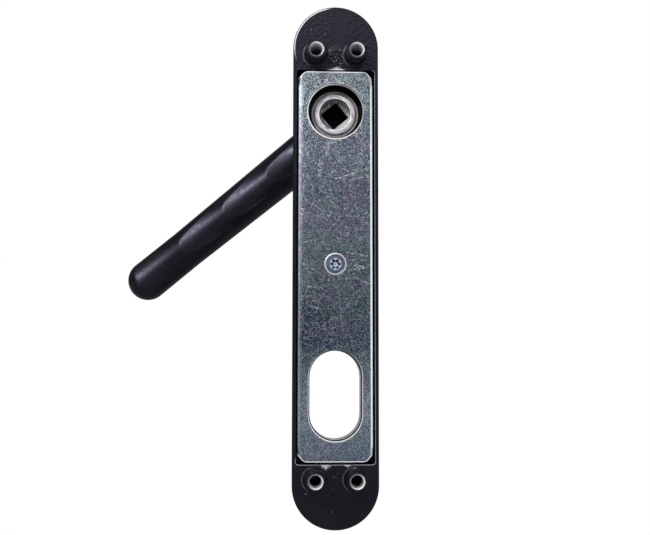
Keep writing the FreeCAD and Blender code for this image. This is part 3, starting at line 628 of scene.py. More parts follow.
@dataclass(frozen=True)
class ZincSheet(Finish):
    """Bright zinc plating with a clear-blue passivation on cold-rolled sheet steel."""

    # The plating's crystals glitter, its passivation drifts from steel blue to violet, and handling has
    # left hairlines, scratches and hazy spots. Sheared edges and folds bear painted highlights.
    name: str = "zinc_plated_sheet_steel"
    # The passivation's tint along the sheet, with a painted reflection in its pale band near the slot's
    # lower end: height and colour.
    tint_and_reflection_by_height: tuple = (
        (-78.0, "#9ab0cc"),
        (-60.0, "#c8daf4"),
        (-32.0, "#486781"),
        (-18.0, "#586f84"),
        (8.0, "#8294a6"),
        (32.0, "#757a9a"),
        (50.0, "#8290a8"),
        (78.0, "#a0b0b8"),
    )
    # The crystals are finer than a pixel. They are drawn at about one pixel, so that they show.
    # Flecks and pits each show in a part of the crystals' range.
    crystal: float = 0.25
    fine: float = 0.42
    fine_share: float = 0.4
    relief: float = 0.012
    relief_strength: float = 0.9
    roughness: tuple = (0.28, 0.44)
    fleck: str = "#eef3fa"
    fleck_band: tuple = (0.62, 0.82, 0.0, 0.68)
    pit: str = "#151d28"
    pit_band: tuple = (0.24, 0.42)
    pit_share: float = 0.72
    # Clouds of tint in the passivation.
    tint_cloud: float = 11.0
    tint_spot: float = 4.95
    tint_share: tuple = (0.15, 0.7)
    green: str = "#557c74"
    violet: str = "#7d6b8c"
    blue: str = "#4d6890"
    # A dark stain left of the slot's upper end: heights and places where it comes and goes.
    stain: str = "#2f4460"
    stain_up: tuple = (-40.0, -30.0, -22.0, -8.0)
    stain_across: tuple = (-8.0, 2.0)
    # Towards the upper end come haze and pits that are more and deeper, and at the lower end deeper ones.
    haze: str = "#d5dfe4"
    haze_cloud: float = 4.5
    haze_band: tuple = (0.5, 0.66, 0.0, 0.55)
    upper: tuple = (34.0, 60.0)
    upper_pits: tuple = (0.07, 0.25)
    lower: tuple = (-60.0, -30.0, 0.2)
    # Painted highlights on the folded edges: colour, and where across each starts.
    lilac_fold_highlight: str = "#e4e0f0"
    left_fold_highlight: tuple = (-14.8, -12.8, 0.35)
    mint_fold_highlight: str = "#dfeae6"
    right_fold_highlight: tuple = (13.9, 14.3, 0.0, 0.95)
    # Painted highlights along the sheared edges, in a colour that the scratches share: the round hole, the
    # slot for the lock cylinder, and the clipped corners' lean.
    edge: str = "#eef0f2"
    hole_up: float = 61.7
    hole_radius: float = 11.15
    slot: tuple = (-10.725, 10.725, -70.7, -34.5, 10.725)
    clip_lean: float = 43.0
    # Painted shade and a painted highlight in rings round the hole's upper half: distance past its edge,
    # share and colour.
    drawn: tuple = ((0.5, 0.85, "#151d28"), (0.85, 0.6, "#eef0f2"))
    # Hairlines: how far apart, how thin, the patches and scraps that they come in, and for each of
    # three directions its density along each axis and its seed.
    hair: float = 2.2
    hair_width: tuple = (0.006, 0.022)
    patch: float = 9.0
    scrap: float = 1.1
    hair_runs: tuple = (((0.3, 1.0, 1.0), 13.0), ((0.45, 1.0, 0.8), 41.0), ((1.0, 1.0, 0.3), 57.0))
    # One shallow score below the screw, as the points that it runs through.
    score: str = "#8fa2b4"
    score_run: tuple = ((0.74, -8.3), (1.6, -14.4), (2.97, -27.3))
    # Fine scratches: how long a piece of one is, how soft, and start, end and half width of each.
    scratch_piece: float = 1.3
    scratch_fade: float = 0.12
    scratches: tuple = (
        ((0.1, 34.2), (10.6, 37.8), 0.09),
        ((0.95, 41.4), (6.1, 44.2), 0.08),
        ((2.4, 38.9), (7.9, 35.4), 0.05),
        ((5.2, 33.7), (11.2, 35.0), 0.05),
        ((3.9, 4.6), (13.1, 3.0), 0.07),
        ((5.0, 1.6), (12.2, 1.4), 0.06),
        ((4.6, -0.7), (13.0, -1.2), 0.06),
        ((6.0, -2.6), (12.6, -1.6), 0.06),
        ((8.0, -5.6), (13.4, -8.1), 0.05),
        ((-9.4, 24.0), (-4.1, 20.6), 0.05),
        ((-11.0, -9.0), (-4.5, -10.4), 0.06),
        ((-12.5, 8.5), (-7.5, 9.9), 0.05),
        ((4.0, 19.3), (12.8, 18.6), 0.04),
        ((-13.0, -16.0), (-6.0, -18.5), 0.04),
        ((-3.1, 48.6), (2.6, 50.2), 0.05),
    )

    def passivation(self, on: Surface, tone: Field) -> bpy.types.NodeSocket:
        """Work out the passivation's tint, which carries a painted reflection near the slot's lower end.

        Args:
            on: the surface.
            tone: each crystal's own number.

        Returns:
            The colour.
        """
        low, high = self.tint_and_reflection_by_height[0][0], self.tint_and_reflection_by_height[-1][0]
        ramp = add_node(on.tree, "ValToRGB", {0: (on.up - low) / (high - low)})
        stops = ramp.color_ramp.elements
        while len(stops) < len(self.tint_and_reflection_by_height):
            stops.new(0.5)
        for stop, (height, colour) in zip(stops, self.tint_and_reflection_by_height):
            stop.position = (height - low) / (high - low)
            stop.color = linear(colour)
        hue = on.noise(self.tint_cloud, 3.0, 4.0).ramp(0.42, 0.58)
        spot = on.noise(self.tint_spot, 3.0, 17.0).ramp(0.55, 0.7)
        clouds = on.paint(self.green, (hue, self.violet), (spot, self.blue))
        come, full, leave, gone = self.stain_up
        stain = on.up.ramp(come, full, 0.0, 0.55) * on.up.fall(leave, gone)
        stain = stain * on.across.fall(*self.stain_across)
        cloudy = tone.ramp(0.2, 0.9, *self.tint_share)
        return on.paint(ramp.outputs["Color"], (cloudy, clouds), (stain, self.stain))

    def scuffs(self, on: Surface) -> Field:
        """Find the hairlines of handling: where one of three drawn-out noises crosses its middle.

        Args:
            on: the surface.

        Returns:
            The mask, broken into patches and pieces.
        """
        runs = [on.noise(self.hair, 1.0, seed, stretch) for stretch, seed in self.hair_runs]
        hairs = reduce(or_, [abs(run - 0.5).fall(*self.hair_width) for run in runs])
        patches = on.noise(self.patch, seed=31.0).ramp(0.42, 0.56)
        return hairs * patches * on.noise(self.scrap, seed=19.0).ramp(0.5, 0.6, 0.0, 0.6)

    def scratch_and_edge_highlight_mask(self, on: Surface, hole: Field) -> Field:
        """Find the scratches and the painted highlights along the sheet's sheared edges and openings.

        Args:
            on: the surface.
            hole: distance from the round hole's middle.

        Returns:
            The mask.
        """
        fade = self.scratch_fade
        lines = [on.line(start, end).near(half + fade / 4, fade) for start, end, half in self.scratches]
        scratched = reduce(or_, lines) * on.noise(self.scratch_piece, seed=5.0).ramp(0.35, 0.6)
        rim = abs(hole - self.hole_radius).near(0.25, 0.12)
        lip = abs(on.rectangle(*self.slot)).near(0.22, 0.2)
        above, beside = abs(on.up - SHEET_UP), abs(on.across - SHEET_ACROSS)
        end = above.ramp(SHEET_REACH - 0.5, SHEET_REACH - 0.3)
        lean = math.radians(self.clip_lean)
        reach = CLIP_CORNER * math.cos(lean) + SHEET_REACH * math.sin(lean)
        clip = (beside * math.cos(lean) + above * math.sin(lean)).ramp(reach - 0.5, reach - 0.25)
        return scratched | rim | lip | end | clip

    def inputs(self, on: Surface) -> dict[str, object]:
        """Work out the plated sheet.

        Args:
            on: the surface that it lies on.

        Returns:
            The shader's inputs.
        """
        shine, tone = on.crystals(self.crystal, 9.0)
        grains = shine * (1 - self.fine_share) + on.noise(self.fine, seed=2.0) * self.fine_share
        upper = on.up.ramp(*self.upper)
        hazy = on.noise(self.haze_cloud, 3.0, 37.0).ramp(*self.haze_band) * upper
        more, deeper = self.upper_pits
        depth = upper * deeper + on.up.fall(*self.lower) + self.pit_share
        pits = (grains - upper * more).fall(*self.pit_band) * depth
        beside = on.across - SHEET_ACROSS
        fold = beside.ramp(*self.right_fold_highlight)
        coats = [
            (hazy, self.haze),
            (grains.ramp(*self.fleck_band), self.fleck),
            (pits, self.pit),
            (self.scuffs(on), self.fleck),
            # The folds' pale colours are painted highlights.
            (beside.fall(*self.left_fold_highlight), self.lilac_fold_highlight),
            (fold, self.mint_fold_highlight),
        ]
        hole = on.distance(SHEET_ACROSS, self.hole_up)
        # Painted shade and a painted highlight in rings round the hole's upper half.
        for past, share, colour in self.drawn:
            ring = abs(hole - (self.hole_radius + past)).near(0.12, 0.14)
            coats.append((ring * on.up.ramp(self.hole_up + 1.0, self.hole_up + 8.0, 0.0, share), colour))
        for start, end in zip(self.score_run, self.score_run[1:]):
            coats.append((on.line(start, end).fall(0.1, 0.45, 0.8), self.score))
        # Scratches, and painted highlights along the sheared edges, in one colour.
        bright = self.scratch_and_edge_highlight_mask(on, hole)
        return {
            "Base Color": on.paint(self.passivation(on, tone), *coats, (bright, self.edge)),
            "Metallic": 1.0 - (fold * 0.6 | bright * 0.5),
            "Roughness": grains.ramp(0.1, 0.9, *self.roughness),
            "Normal": on.bump(grains, self.relief, Strength=self.relief_strength),
        }


@dataclass(frozen=True)
class TurnedSteel(Finish):
    """Turned or stamped steel under zinc, with rings round an axis, some of them painted highlights and
    shade.
    """

    # The tool leaves fine rings that draw the highlights out round the axis, and the zinc is mottled.
    colour: str
    shade: str
    roughness: tuple
    up: float
    ring: float
    metallic: float
    # Rings of another colour round the axis, some of them painted highlights and shade: from, to, colour,
    # and down to which depth.
    bands: tuple = ()
    band_fade: float = 0.08
    band_end: float = 0.15
    cloud: float = 2.6
    mottle: float = 0.4
    ring_depth: float = 0.0015
    mark: str = "#77727e"
    mark_width: float = 0.38
    mark_share: float = 0.0

    def plating(self, on: Surface, fleck: Field) -> bpy.types.NodeSocket:
        """Work out the colour.

        Args:
            on: the surface.
            fleck: the zinc's fine mottle.

        Returns:
            The colour.
        """
        out, fade = on.distance(0.0, self.up), self.band_fade
        coats = [(on.noise(self.cloud, 3.0).ramp(0.35, 0.68), self.shade)]
        for start, end, colour, lowest in self.bands:
            ring = out.ramp(start - fade, start + fade) * out.fall(end - fade, end + fade)
            coats.append((ring * on.deep.fall(lowest, lowest + self.band_end), colour))
        coats.append((fleck.ramp(0.55, 0.8, 0.0, 0.4), self.shade))
        marks = on.lathe_marks(self.up, self.mark_width, 2.5, 3.0)
        return on.paint(self.colour, *coats, (marks.ramp(0.5, 0.66, 0.0, self.mark_share), self.mark))

    def inputs(self, on: Surface) -> dict[str, object]:
        """Work out the steel with its turning rings.

        Args:
            on: the surface that it lies on.

        Returns:
            The shader's inputs.
        """
        fleck = on.noise(self.mottle, seed=6.0)
        wave = (on.distance(0.0, self.up) * (2 * math.pi / self.ring)).reckon("SINE")
        return {
            "Base Color": self.plating(on, fleck),
            "Metallic": self.metallic,
            "Roughness": fleck.ramp(*UNEVEN, *self.roughness),
            "Normal": on.bump(wave, self.ring_depth),
        }


@dataclass(frozen=True)
class PlatedBore(TurnedSteel):
    """The turned sleeve: rim and floor with painted highlights and shade, yellow wall, socket painted dark as
    shade.
    """

    # The bath reaches less far into a bore: yellow passivation on its wall and streaks on its floor. The
    # floor's painted highlight lies towards +X and down, and the socket is painted near black as shade.
    wall: str = "#a3a765"
    wall_deep: tuple = (6.4, 7.0, 9.0, 9.25)
    wall_across: tuple = (-1.0, 3.0)
    floor: str = "#93949a"
    floor_deep: tuple = (9.1, 9.28)
    streak: str = "#3c3c42"
    streak_width: float = 0.5
    # A painted highlight on the floor towards +X and down: colour, and where it comes in.
    lit_floor: str = "#c6c6c6"
    lit_from: tuple = (2.0, 7.5)
    # The socket painted near black as shade, and the depths where that comes in.
    socket: str = "#060606"
    socket_shade_deep: tuple = (9.75, 10.15)

    def plating(self, on: Surface, fleck: Field) -> bpy.types.NodeSocket:
        """Work out the colour, from the rim down into the socket.

        Args:
            on: the surface.
            fleck: the zinc's fine mottle.

        Returns:
            The colour.
        """
        start, full, fading, end = self.wall_deep
        wall = on.deep.ramp(start, full) * on.deep.fall(fading, end) * on.across.ramp(*self.wall_across)
        streaks = on.noise(self.streak_width, seed=14.0, stretch=(1.0, 1.0, 0.3)).ramp(0.35, 0.65)
        # Painted highlight on the floor towards +X and down, and the socket painted near black as shade.
        lower_right = (on.across - (on.up - self.up)).ramp(*self.lit_from)
        floor = on.paint(self.floor, (streaks, self.streak), (lower_right, self.lit_floor))
        inside = (on.deep.ramp(*self.floor_deep), floor), (on.deep.ramp(*self.socket_shade_deep), self.socket)
        return on.paint(super().plating(on, fleck), (wall, self.wall), *inside)


@dataclass(frozen=True)
class PlainFinish(Finish):
    """A finish of two close tones: moulded acetal, blued or blackened steel, or a cut casting."""

    # Seen only in a hole or with the handle taken apart: an even surface with a light mottle.
    colour: str
    shade: str
    metallic: float
    roughness: tuple
    grain: float = 0.8
    relief: float = 0.01

    def inputs(self, on: Surface) -> dict[str, object]:
        """Work out the mottle and a fine grain.

        Args:
            on: the surface that it lies on.

        Returns:
            The shader's inputs.
        """
        grain = on.noise(self.grain, seed=8.0)
        return {
            "Base Color": on.paint(self.colour, (on.noise(self.grain * 4).ramp(*CLOUDY), self.shade)),
            "Metallic": self.metallic,
            "Roughness": grain.ramp(*UNEVEN, *self.roughness),
            "Normal": on.bump(grain, self.relief),
        }


# Surfaces


def smooth_step(value: np.ndarray, low: float, high: float) -> np.ndarray:
    """Rise from 0 at low to 1 at high with level ends: 3t^2 - 2t^3."""
    share = np.clip((value - low) / (high - low), 0.0, 1.0)
    return share * share * (3 - 2 * share)


def soft_max(first: np.ndarray, second: np.ndarray, width: float) -> np.ndarray:
    """The larger of two values, rounded over a width where they meet: k ln(e^(a/k) + e^(b/k))."""
    return width * np.logaddexp(first / width, second / width)


def arc(centre: tuple[float, float], radius: float, start: float, end: float, count: int) -> list[tuple]:
    """Points (out, deep) of a circle's arc between two angles in degrees."""
    turn = np.radians(np.linspace(start, end, count))
    return list(zip(centre[0] + radius * np.cos(turn), centre[1] + radius * np.sin(turn)))


def angles(columns: int) -> np.ndarray:
    """Even angles once round, without the last, which would be the first again."""
    return np.linspace(0, 2 * np.pi, columns, endpoint=False)


def lathe(rows: list[tuple], columns: int = 96) -> np.ndarray:
    """Carry rows round the Y axis: a row (out, deep) gives (out cos t, deep, out sin t) for every angle t.

    Args:
        rows: reach from the axis, one number or one for each angle, and depth of each row.
        columns: how many angles there are.

    Returns:
        Points as rows x columns x 3.
    """
    turn = angles(columns)
    out = np.stack([reach + 0 * turn for reach, _ in rows])
    deep = np.array([depth for _, depth in rows])[:, None] + 0 * turn
    return np.stack([out * np.cos(turn), deep, out * np.sin(turn)], -1)


def turned_to_hub(points: np.ndarray) -> np.ndarray:
    """Turn points about the spindle's axis to the lever's place, and lift them to the hub.

    Args:
        points: array whose last axis is across, deep and up.

    Returns:
        The points: across cos a + up sin a, deep, hub - across sin a + up cos a.
    """
    angle = math.radians(LEVER_TURN)
    across, deep, up = points[..., 0], points[..., 1], points[..., 2]
    aside = across * math.cos(angle) + up * math.sin(angle)
    return np.stack([aside, deep, HUB_UP - across * math.sin(angle) + up * math.cos(angle)], -1)


def closed_grid(name: str, points: np.ndarray) -> bpy.types.Mesh:
    """Skin a grid of points that is closed round its second parameter.

    The first and last rows are poles, whose points coincide, or the same ring, so the skin is closed.

    Args:
        name: the mesh's name.
        points: rows x columns x 3 in millimetres.

    Returns:
        The mesh, with merged poles and faces that point outwards.
    """
    rows, columns = points.shape[:2]
    number = np.arange(rows * columns).reshape(rows, columns)
    here, above = number[:-1], number[1:]
    quads = np.stack([here, np.roll(here, -1, 1), np.roll(above, -1, 1), above], axis=-1).reshape(-1, 4)
    mesh = bpy.data.meshes.new(name)
    mesh.from_pydata((points * MM).reshape(-1, 3), [], quads.tolist())
    skin = bmesh.new()
    skin.from_mesh(mesh)
    bmesh.ops.remove_doubles(skin, verts=skin.verts, dist=POLE_GAP)
    bmesh.ops.recalc_face_normals(skin, faces=skin.faces)
    skin.to_mesh(mesh)
    skin.free()
    return mesh


def place_piece(
    mesh: bpy.types.Mesh, body: Body, finish: Finish, crisp: float = 40.0
) -> bpy.types.Object:
    """Put a mesh in the scene as a piece that rides on a body.

    Args:
        mesh: its mesh, which names it and holds its place.
        body: the body that carries it.
        finish: its finish.
        crisp: edges sharper than this many degrees stay so.

    Returns:
        The piece.
    """
    piece = add_object(mesh.name, mesh)
    mesh.materials.clear()
    mesh.materials.append(bpy.data.materials.get(finish.name) or finish.make())
    mesh.shade_smooth()
    mesh.set_sharp_from_angle(angle=math.radians(crisp))
    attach(piece, body.value)
    log.info("%s: %d faces, %s, on %s", piece.name, len(mesh.polygons), finish.name, body.value)
    return piece


def merged_copy(source: bpy.types.Object, name: str, shape: Callable | None = None) -> bpy.types.Mesh:
    """Copy a CAD node's loose triangles as a merged mesh of flat faces.

    Args:
        source: the node.
        name: the copy's name.
        shape: what else is done to the merged bmesh, if anything.

    Returns:
        The copy.
    """
    mesh = source.data.copy()
    mesh.name = name
    skin = bmesh.new()
    skin.from_mesh(mesh)
    bmesh.ops.remove_doubles(skin, verts=skin.verts, dist=WELD_GAP)
    flat = math.radians(FLAT_ANGLE)
    bmesh.ops.dissolve_limit(skin, angle_limit=flat, verts=skin.verts, edges=skin.edges)
    if shape is not None:
        shape(skin)
    skin.to_mesh(mesh)
    skin.free()
    if mesh.has_custom_normals:
        mesh.attributes.remove(mesh.attributes["custom_normal"])
    return mesh


def round_edges(piece: bpy.types.Object, width: float) -> None:
    """Round a piece's sharp edges.

    Args:
        piece: the piece.
        width: how far the rounding reaches from an edge.
    """
    bevel = piece.modifiers.new("rounded_edges", "BEVEL")
    bevel.width = width * MM
    bevel.segments = 2
    bevel.limit_method = "ANGLE"
    bevel.angle_limit = math.radians(SHARP_ANGLE)
    bevel.miter_outer = "MITER_ARC"
    bevel.use_clamp_overlap = True
    bevel.harden_normals = True


# Sub-assemblies


@dataclass
class CoverPlate:
    """The die-cast cover with its four bosses."""

    edge: float = 0.34
    boss: float = 4.3
    foot: float = 0.85
    foot_sunk: float = 0.3
    core: float = 2.5
    thread: float = 0.22
    pitch: float = 1.0
    thread_start: float = -6.75
    thread_end: float = 2.0
    run_in: float = 0.6
    rows_a_turn: int = 12
    columns: int = 48

    def foot_rows(self) -> list[tuple]:
        """Work out the concave fillet at a boss's foot: a quarter circle, closed inside the casting.

        Returns:
            Rows of (out, deep).
        """
        reach, inside = self.boss + self.foot, self.boss - self.foot_sunk
        curve = arc((reach, -self.foot), self.foot, 90, 180, 9)
        return [*curve, (inside, -self.foot), (inside, self.foot_sunk), (reach, self.foot_sunk), curve[0]]

    def thread_rows(self) -> list[tuple]:
        """Work out the thread in a boss: out = core - depth |saw(deep / pitch + t)|, closed behind it.

        Returns:
            Rows of (out, deep), with the thread running in over its first part.
        """
        count = int((self.thread_end - self.thread_start) / self.pitch * self.rows_a_turn)
        depths = np.linspace(self.thread_start, self.thread_end, count)
        deep, turn = depths[:, None], angles(self.columns)
        saw = 2 * np.abs(((deep / self.pitch + turn / (2 * np.pi)) % 1.0) - 0.5)
        fade = smooth_step(deep, self.thread_start, self.thread_start + self.run_in)
        out = self.core - self.thread * saw * fade
        behind = self.core + self.foot_sunk
        return [*zip(out, depths), (behind, depths[-1]), (behind, depths[0]), (out[0], depths[0])]

    def build(self, frame: dict) -> None:
        """Dress the casting and add the bosses' fillets and threads.

        Args:
            frame: the loaded frame.
        """
        mesh = merged_copy(frame["nodes"]["cover_plate"], "cover_casting")
        cover = place_piece(mesh, Body.PLATE, WornPowderCoat())
        round_edges(cover, self.edge)
        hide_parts("cover_plate")
        coat = PowderCoat("black_powder_coat_foot")
        metal = PlainFinish("cut_light_alloy", "#c3c4c9", "#85868b", 0.5, (0.31, 0.43), 0.5)
        rings = lathe(self.foot_rows()), lathe(self.thread_rows(), self.columns)
        corners = [(side, end) for end in (1, -1) for side in (-1, 1)]
        for number, (side, end) in enumerate(corners, 1):
            axis = (side * BOSS[0], 0.0, end * BOSS[1])
            for name, points, finish in zip(("boss_foot", "boss_thread"), rings, (coat, metal)):
                place_piece(closed_grid(f"{name}_{number}", points + axis), Body.PLATE, finish)


@dataclass
class RearPlate:
    """The zinc-plated sheet and its screw."""

    edge: float = 0.16
    corner_round: float = 1.0
    # The folded edges: half width, inner radius, and how far the flat stays as the CAD has it.
    half: float = 15.05
    fold: float = 1.9
    flat_to: float = 12.0
    # Where the sheet starts to fall towards each fold (-X, +X), its lean there, and where the CAD's
    # bend and the softer one start.
    crown_from: tuple = (12.3, 13.3)
    lean: float = 19.0
    bend_from: float = 13.15
    bend_start: float = 14.6
    # Heights over which the change fades out towards the clipped corners, and its limits in depth.
    fade: tuple = (71.6, 75.2)
    inner_face: float = 1.7
    outer_wall: float = 13.6
    wall_end: float = 2.3
    cuts: int = 5
    # The sheet's face towards the door, and the screw: radii of its head, shank and groove.
    face: float = 0.3
    head: float = 4.4
    land: float = 0.3
    shank: float = 2.5
    length: float = 8.0
    lobe_middle: float = 1.85
    lobe_swing: float = 0.45
    recess: float = 1.7
    groove: float = 3.55

    def cut_up(self, skin: bmesh.types.BMesh) -> None:
        """Round the clipped corners and cut the sheet's margins into strips that can bend.

        Args:
            skin: the sheet.
        """
        ends = [edge for edge in skin.edges if self.is_clip_corner(edge)]
        offset = self.corner_round * MM
        bmesh.ops.bevel(skin, geom=ends, offset=offset, segments=4, affect="EDGES", profile=0.5)
        for side in (-1, 1):
            for cut in np.linspace(self.flat_to, self.bend_from, self.cuts)[:-1]:
                parts = [*skin.verts, *skin.edges, *skin.faces]
                place = ((side * cut + SHEET_ACROSS) * MM, 0, 0)
                bmesh.ops.bisect_plane(skin, geom=parts, plane_co=place, plane_no=(1, 0, 0))
            for cut in np.linspace(*self.fade, self.cuts):
                middles = {face: face.calc_center_median().x / MM - SHEET_ACROSS for face in skin.faces}
                faces = [face for face, beside in middles.items() if abs(beside) > self.flat_to]
                edges = {edge for face in faces for edge in face.edges}
                parts = [*{vert for face in faces for vert in face.verts}, *edges, *faces]
                place = (0, 0, (side * cut + SHEET_UP) * MM)
                bmesh.ops.bisect_plane(skin, geom=parts, plane_co=place, plane_no=(0, 0, 1))

    def is_clip_corner(self, edge: bmesh.types.BMEdge) -> bool:
        """Tell whether an edge runs through the sheet where a clipped corner meets the end.

        Args:
            edge: an edge of the sheet.

        Returns:
            Whether it does.
        """
        first, last = (vert.co / MM for vert in edge.verts)
        if abs(first.y - last.y) <= 1.0 or abs(first.x - last.x) >= 0.01:
            return False
        at_end = abs(abs(first.z - SHEET_UP) - SHEET_REACH) < 0.02
        return at_end and abs(abs(first.x - SHEET_ACROSS) - CLIP_CORNER) < 0.02

    def soft_fold(self, skin: bmesh.types.BMesh) -> None:
        """Let the sheet fall off gently before each folded edge.

        Across the sheet, the flat runs to the crown's start and then falls as the square of the distance
        until it leans, and a tighter bend of even radius takes it round to the side. Towards the clipped
        corners the change fades out.

        Args:
            skin: the sheet.
        """
        self.cut_up(skin)
        across, deep, up = (np.array([vert.co for vert in skin.verts]) / MM).T
        beside = np.abs(across - SHEET_ACROSS)
        lean = math.radians(self.lean)
        stretch = (self.bend_start - self.flat_to) / (self.bend_from - self.flat_to)
        widened = self.flat_to + (beside - self.flat_to) * stretch
        crown_from = np.where(across < SHEET_ACROSS, *self.crown_from)
        slope = math.tan(lean) / (2 * (self.bend_start - crown_from))
        turn = np.arcsin(np.clip((beside - self.bend_from) / self.fold, 0.0, 1.0))
        tilt = lean + turn * (np.pi / 2 - lean) / (np.pi / 2)
        radius = (self.half - self.bend_start) / (1 - math.sin(lean))
        bent = beside > self.bend_from
        out = np.where(bent, self.bend_start + radius * (np.sin(tilt) - math.sin(lean)), widened)
        run = np.where(bent, self.bend_start - crown_from, np.maximum(widened - crown_from, 0.0))
        sunk = self.face + slope * run**2 + np.where(bent, radius * (math.cos(lean) - np.cos(tilt)), 0.0)
        outer = ((deep < self.inner_face) | (beside > self.outer_wall)) & (deep < self.wall_end)
        fade = 1 - smooth_step(np.abs(up - SHEET_UP), *self.fade)
        share = np.where(outer & (beside > self.flat_to), fade, 0.0)
        across = SHEET_ACROSS + np.sign(across - SHEET_ACROSS) * (beside + share * (out - beside))
        deep = deep + share * (sunk - deep)
        for vert, x, y in zip(skin.verts, across * MM, deep * MM):
            vert.co.xy = x, y

    def screw_rows(self) -> list[tuple]:
        """Work out the screw from the recess's floor over its face to the shank's end.

        The recess follows six lobes: middle + swing cos(6 t). The face carries a shallow groove inside a
        raised outer ring, and the head narrows as a cone to the shank.

        Returns:
            Rows of (out, deep).
        """
        lobes = self.lobe_middle + self.lobe_swing * np.cos(6 * angles(96))
        groove, head = self.groove, self.head
        rows = [
            (0.0, self.recess),
            (lobes * 0.8, self.recess - 0.2),
            (lobes * 0.96, 0.9),
            (lobes, 0.28),
            (lobes + 0.18, 0.12),
            (groove - 0.55, 0.1),
            (groove - 0.2, 0.16),
            (groove, 0.2),
            (groove + 0.18, 0.12),
            (groove + 0.3, 0.02),
            (head - 0.2, 0.0),
            (head - 0.06, 0.05),
            (head, 0.16),
            (head, self.land),
            (self.shank, self.land + head - self.shank),
            (self.shank, self.length),
            (0.0, self.length),
        ]
        return [(out, self.face + deep) for out, deep in rows]

    def build(self, frame: dict) -> None:
        """Dress the sheet and make the screw.

        Args:
            frame: the loaded frame.
        """
        mesh = merged_copy(frame["nodes"]["rear_plate"], "zinc_sheet", self.soft_fold)
        sheet = place_piece(mesh, Body.PLATE, ZincSheet())
        round_edges(sheet, self.edge)
        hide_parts("rear_plate")
        # Painted highlights ring the head's edge and the recess floor; painted shade darkens its groove.
        bands = (
            (0.0, 2.3, "#38597c", 3.0),
            (0.25, 1.0, "#d9e4ee", 3.0),
            (1.45, 2.45, "#c3d2e2", 0.95),
            (2.45, 3.4, "#62667c", 0.75),
            (3.4, 3.62, "#353848", 0.75),
            (3.62, 4.1, "#8f8b98", 0.75),
            (4.05, 4.5, "#fbf8f9", 0.75),
        )
        look = ("#7f8b99", "#3c4a5c", (0.36, 0.5), SHEET_UP, 0.5, 0.75, bands)
        steel = TurnedSteel("zinc_plated_screw_steel", *look)
        mesh = closed_grid("six_lobe_screw", lathe(self.screw_rows()) + (0.0, 0.0, SHEET_UP))
        screw = place_piece(mesh, Body.PLATE, steel, 30)
        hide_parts("plate_screw")


@dataclass
class SpindleDrive:
    """The sleeve with its rolled rim, and the parts held under it."""

    columns: int = 192
    bore: float = 6.3
    bore_lip: float = 0.4
    rim: float = 8.5
    rim_face: float = 5.5
    rim_back: float = 6.5
    barrel: float = 7.68
    flats: float = 7.1
    shelf: float = 9.3
    square: float = 4.05
    lead_in: float = 0.2
    lead_depth: float = 0.5
    socket_end: float = 22.0
    end: float = 29.0
    washer_edge: float = 0.2
    # The rolled rim's outer curve: reach, and depth past its face.
    roll: tuple = (
        (7.0, 0.01),
        (7.4, 0.03),
        (7.8, 0.07),
        (8.1, 0.13),
        (8.3, 0.24),
        (8.42, 0.4),
        (8.48, 0.62),
    )

    def sleeve_rows(self) -> list[tuple]:
        """Work out the sleeve from the socket's floor over the rolled rim to the far end.

        Rows in the socket follow a square, half / max(|cos t|, |sin t|), rows of the barrel a circle cut
        by two flats, min(barrel, flats / |sin t|), and the others a circle.

        Returns:
            Rows of (out, deep).
        """
        turn = angles(self.columns)
        unit = 1 / np.maximum(np.abs(np.cos(turn)), np.abs(np.sin(turn)))
        barrel = np.minimum(self.barrel, self.flats / np.maximum(np.abs(np.sin(turn)), 1e-6))
        lip = self.bore_lip
        return [
            (0.0, self.socket_end),
            (self.square * unit, self.socket_end),
            (self.square * unit, self.shelf + self.lead_depth),
            ((self.square + self.lead_in) * unit, self.shelf),
            (self.bore, self.shelf),
            *arc((self.bore + lip, self.rim_face + lip), lip, 180, 270, 7),
            *((out, self.rim_face + past) for out, past in self.roll),
            (self.rim, self.rim_back),
            (barrel, self.rim_back),
            (barrel, self.end),
            (0.0, self.end),
        ]

    def build(self, frame: dict) -> None:
        """Make the sleeve and dress the parts round it.

        Args:
            frame: the loaded frame.
        """
        nodes = frame["nodes"]
        # The rim's inner roll is painted dark as shade, and the rings outside it pale as painted highlights.
        bands = (
            (6.2, 6.48, "#8d8b92", 6.4),
            (6.48, 7.0, "#f2f2f8", 6.4),
            (7.0, 7.6, "#d6d4dc", 6.6),
            (7.6, 8.2, "#cfcbd3", 6.6),
            (8.2, 8.6, "#d4cfd6", 6.7),
        )
        look = ("#b9b9bd", "#76777c", (0.36, 0.5), HUB_UP, 0.5, 0.55, bands)
        steel = PlatedBore("bright_zinc_turned_steel", *look, ring_depth=0.003, mark_share=0.85)
        mesh = closed_grid("rolled_sleeve", turned_to_hub(lathe(self.sleeve_rows(), self.columns)))
        sleeve = place_piece(mesh, Body.HANDLE, steel)
        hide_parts("drive_sleeve")
        look = ("#969092", "#686264", (0.44, 0.58), HUB_UP, 0.6, 0.6, ((9.35, 9.7, "#bdb8ba", 8.0),))
        dull = TurnedSteel("dull_zinc_stamped_steel", *look, mark_share=0.6)
        mesh = merged_copy(nodes["retaining_washer"], "dull_washer")
        washer = place_piece(mesh, Body.HANDLE, dull)
        round_edges(washer, self.washer_edge)
        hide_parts("retaining_washer")
        hidden = {
            "spring_washer": ("blued_spring_steel", "#3a3f4c", "#23252c", 1.0, (0.25, 0.37)),
            "stop_ring": ("blackened_steel", "#2b2c2f", "#1a1b1d", 0.9, (0.35, 0.47)),
            "sleeve_pin": ("blackened_pin_steel", "#2b2c2f", "#1a1b1d", 0.9, (0.3, 0.42)),
            "neck_bush": ("moulded_black_acetal", "#131315", "#1c1c1f", 0.0, (0.3, 0.42)),
            "thrust_washer": ("moulded_black_acetal_washer", "#131315", "#1c1c1f", 0.0, (0.3, 0.42)),
        }
        for node, look in hidden.items():
            finish = PlainFinish(*look)
            nodes[node].data.materials.clear()
            nodes[node].data.materials.append(finish.make())
            log.info("%s: %s, as packed", node, finish.name)


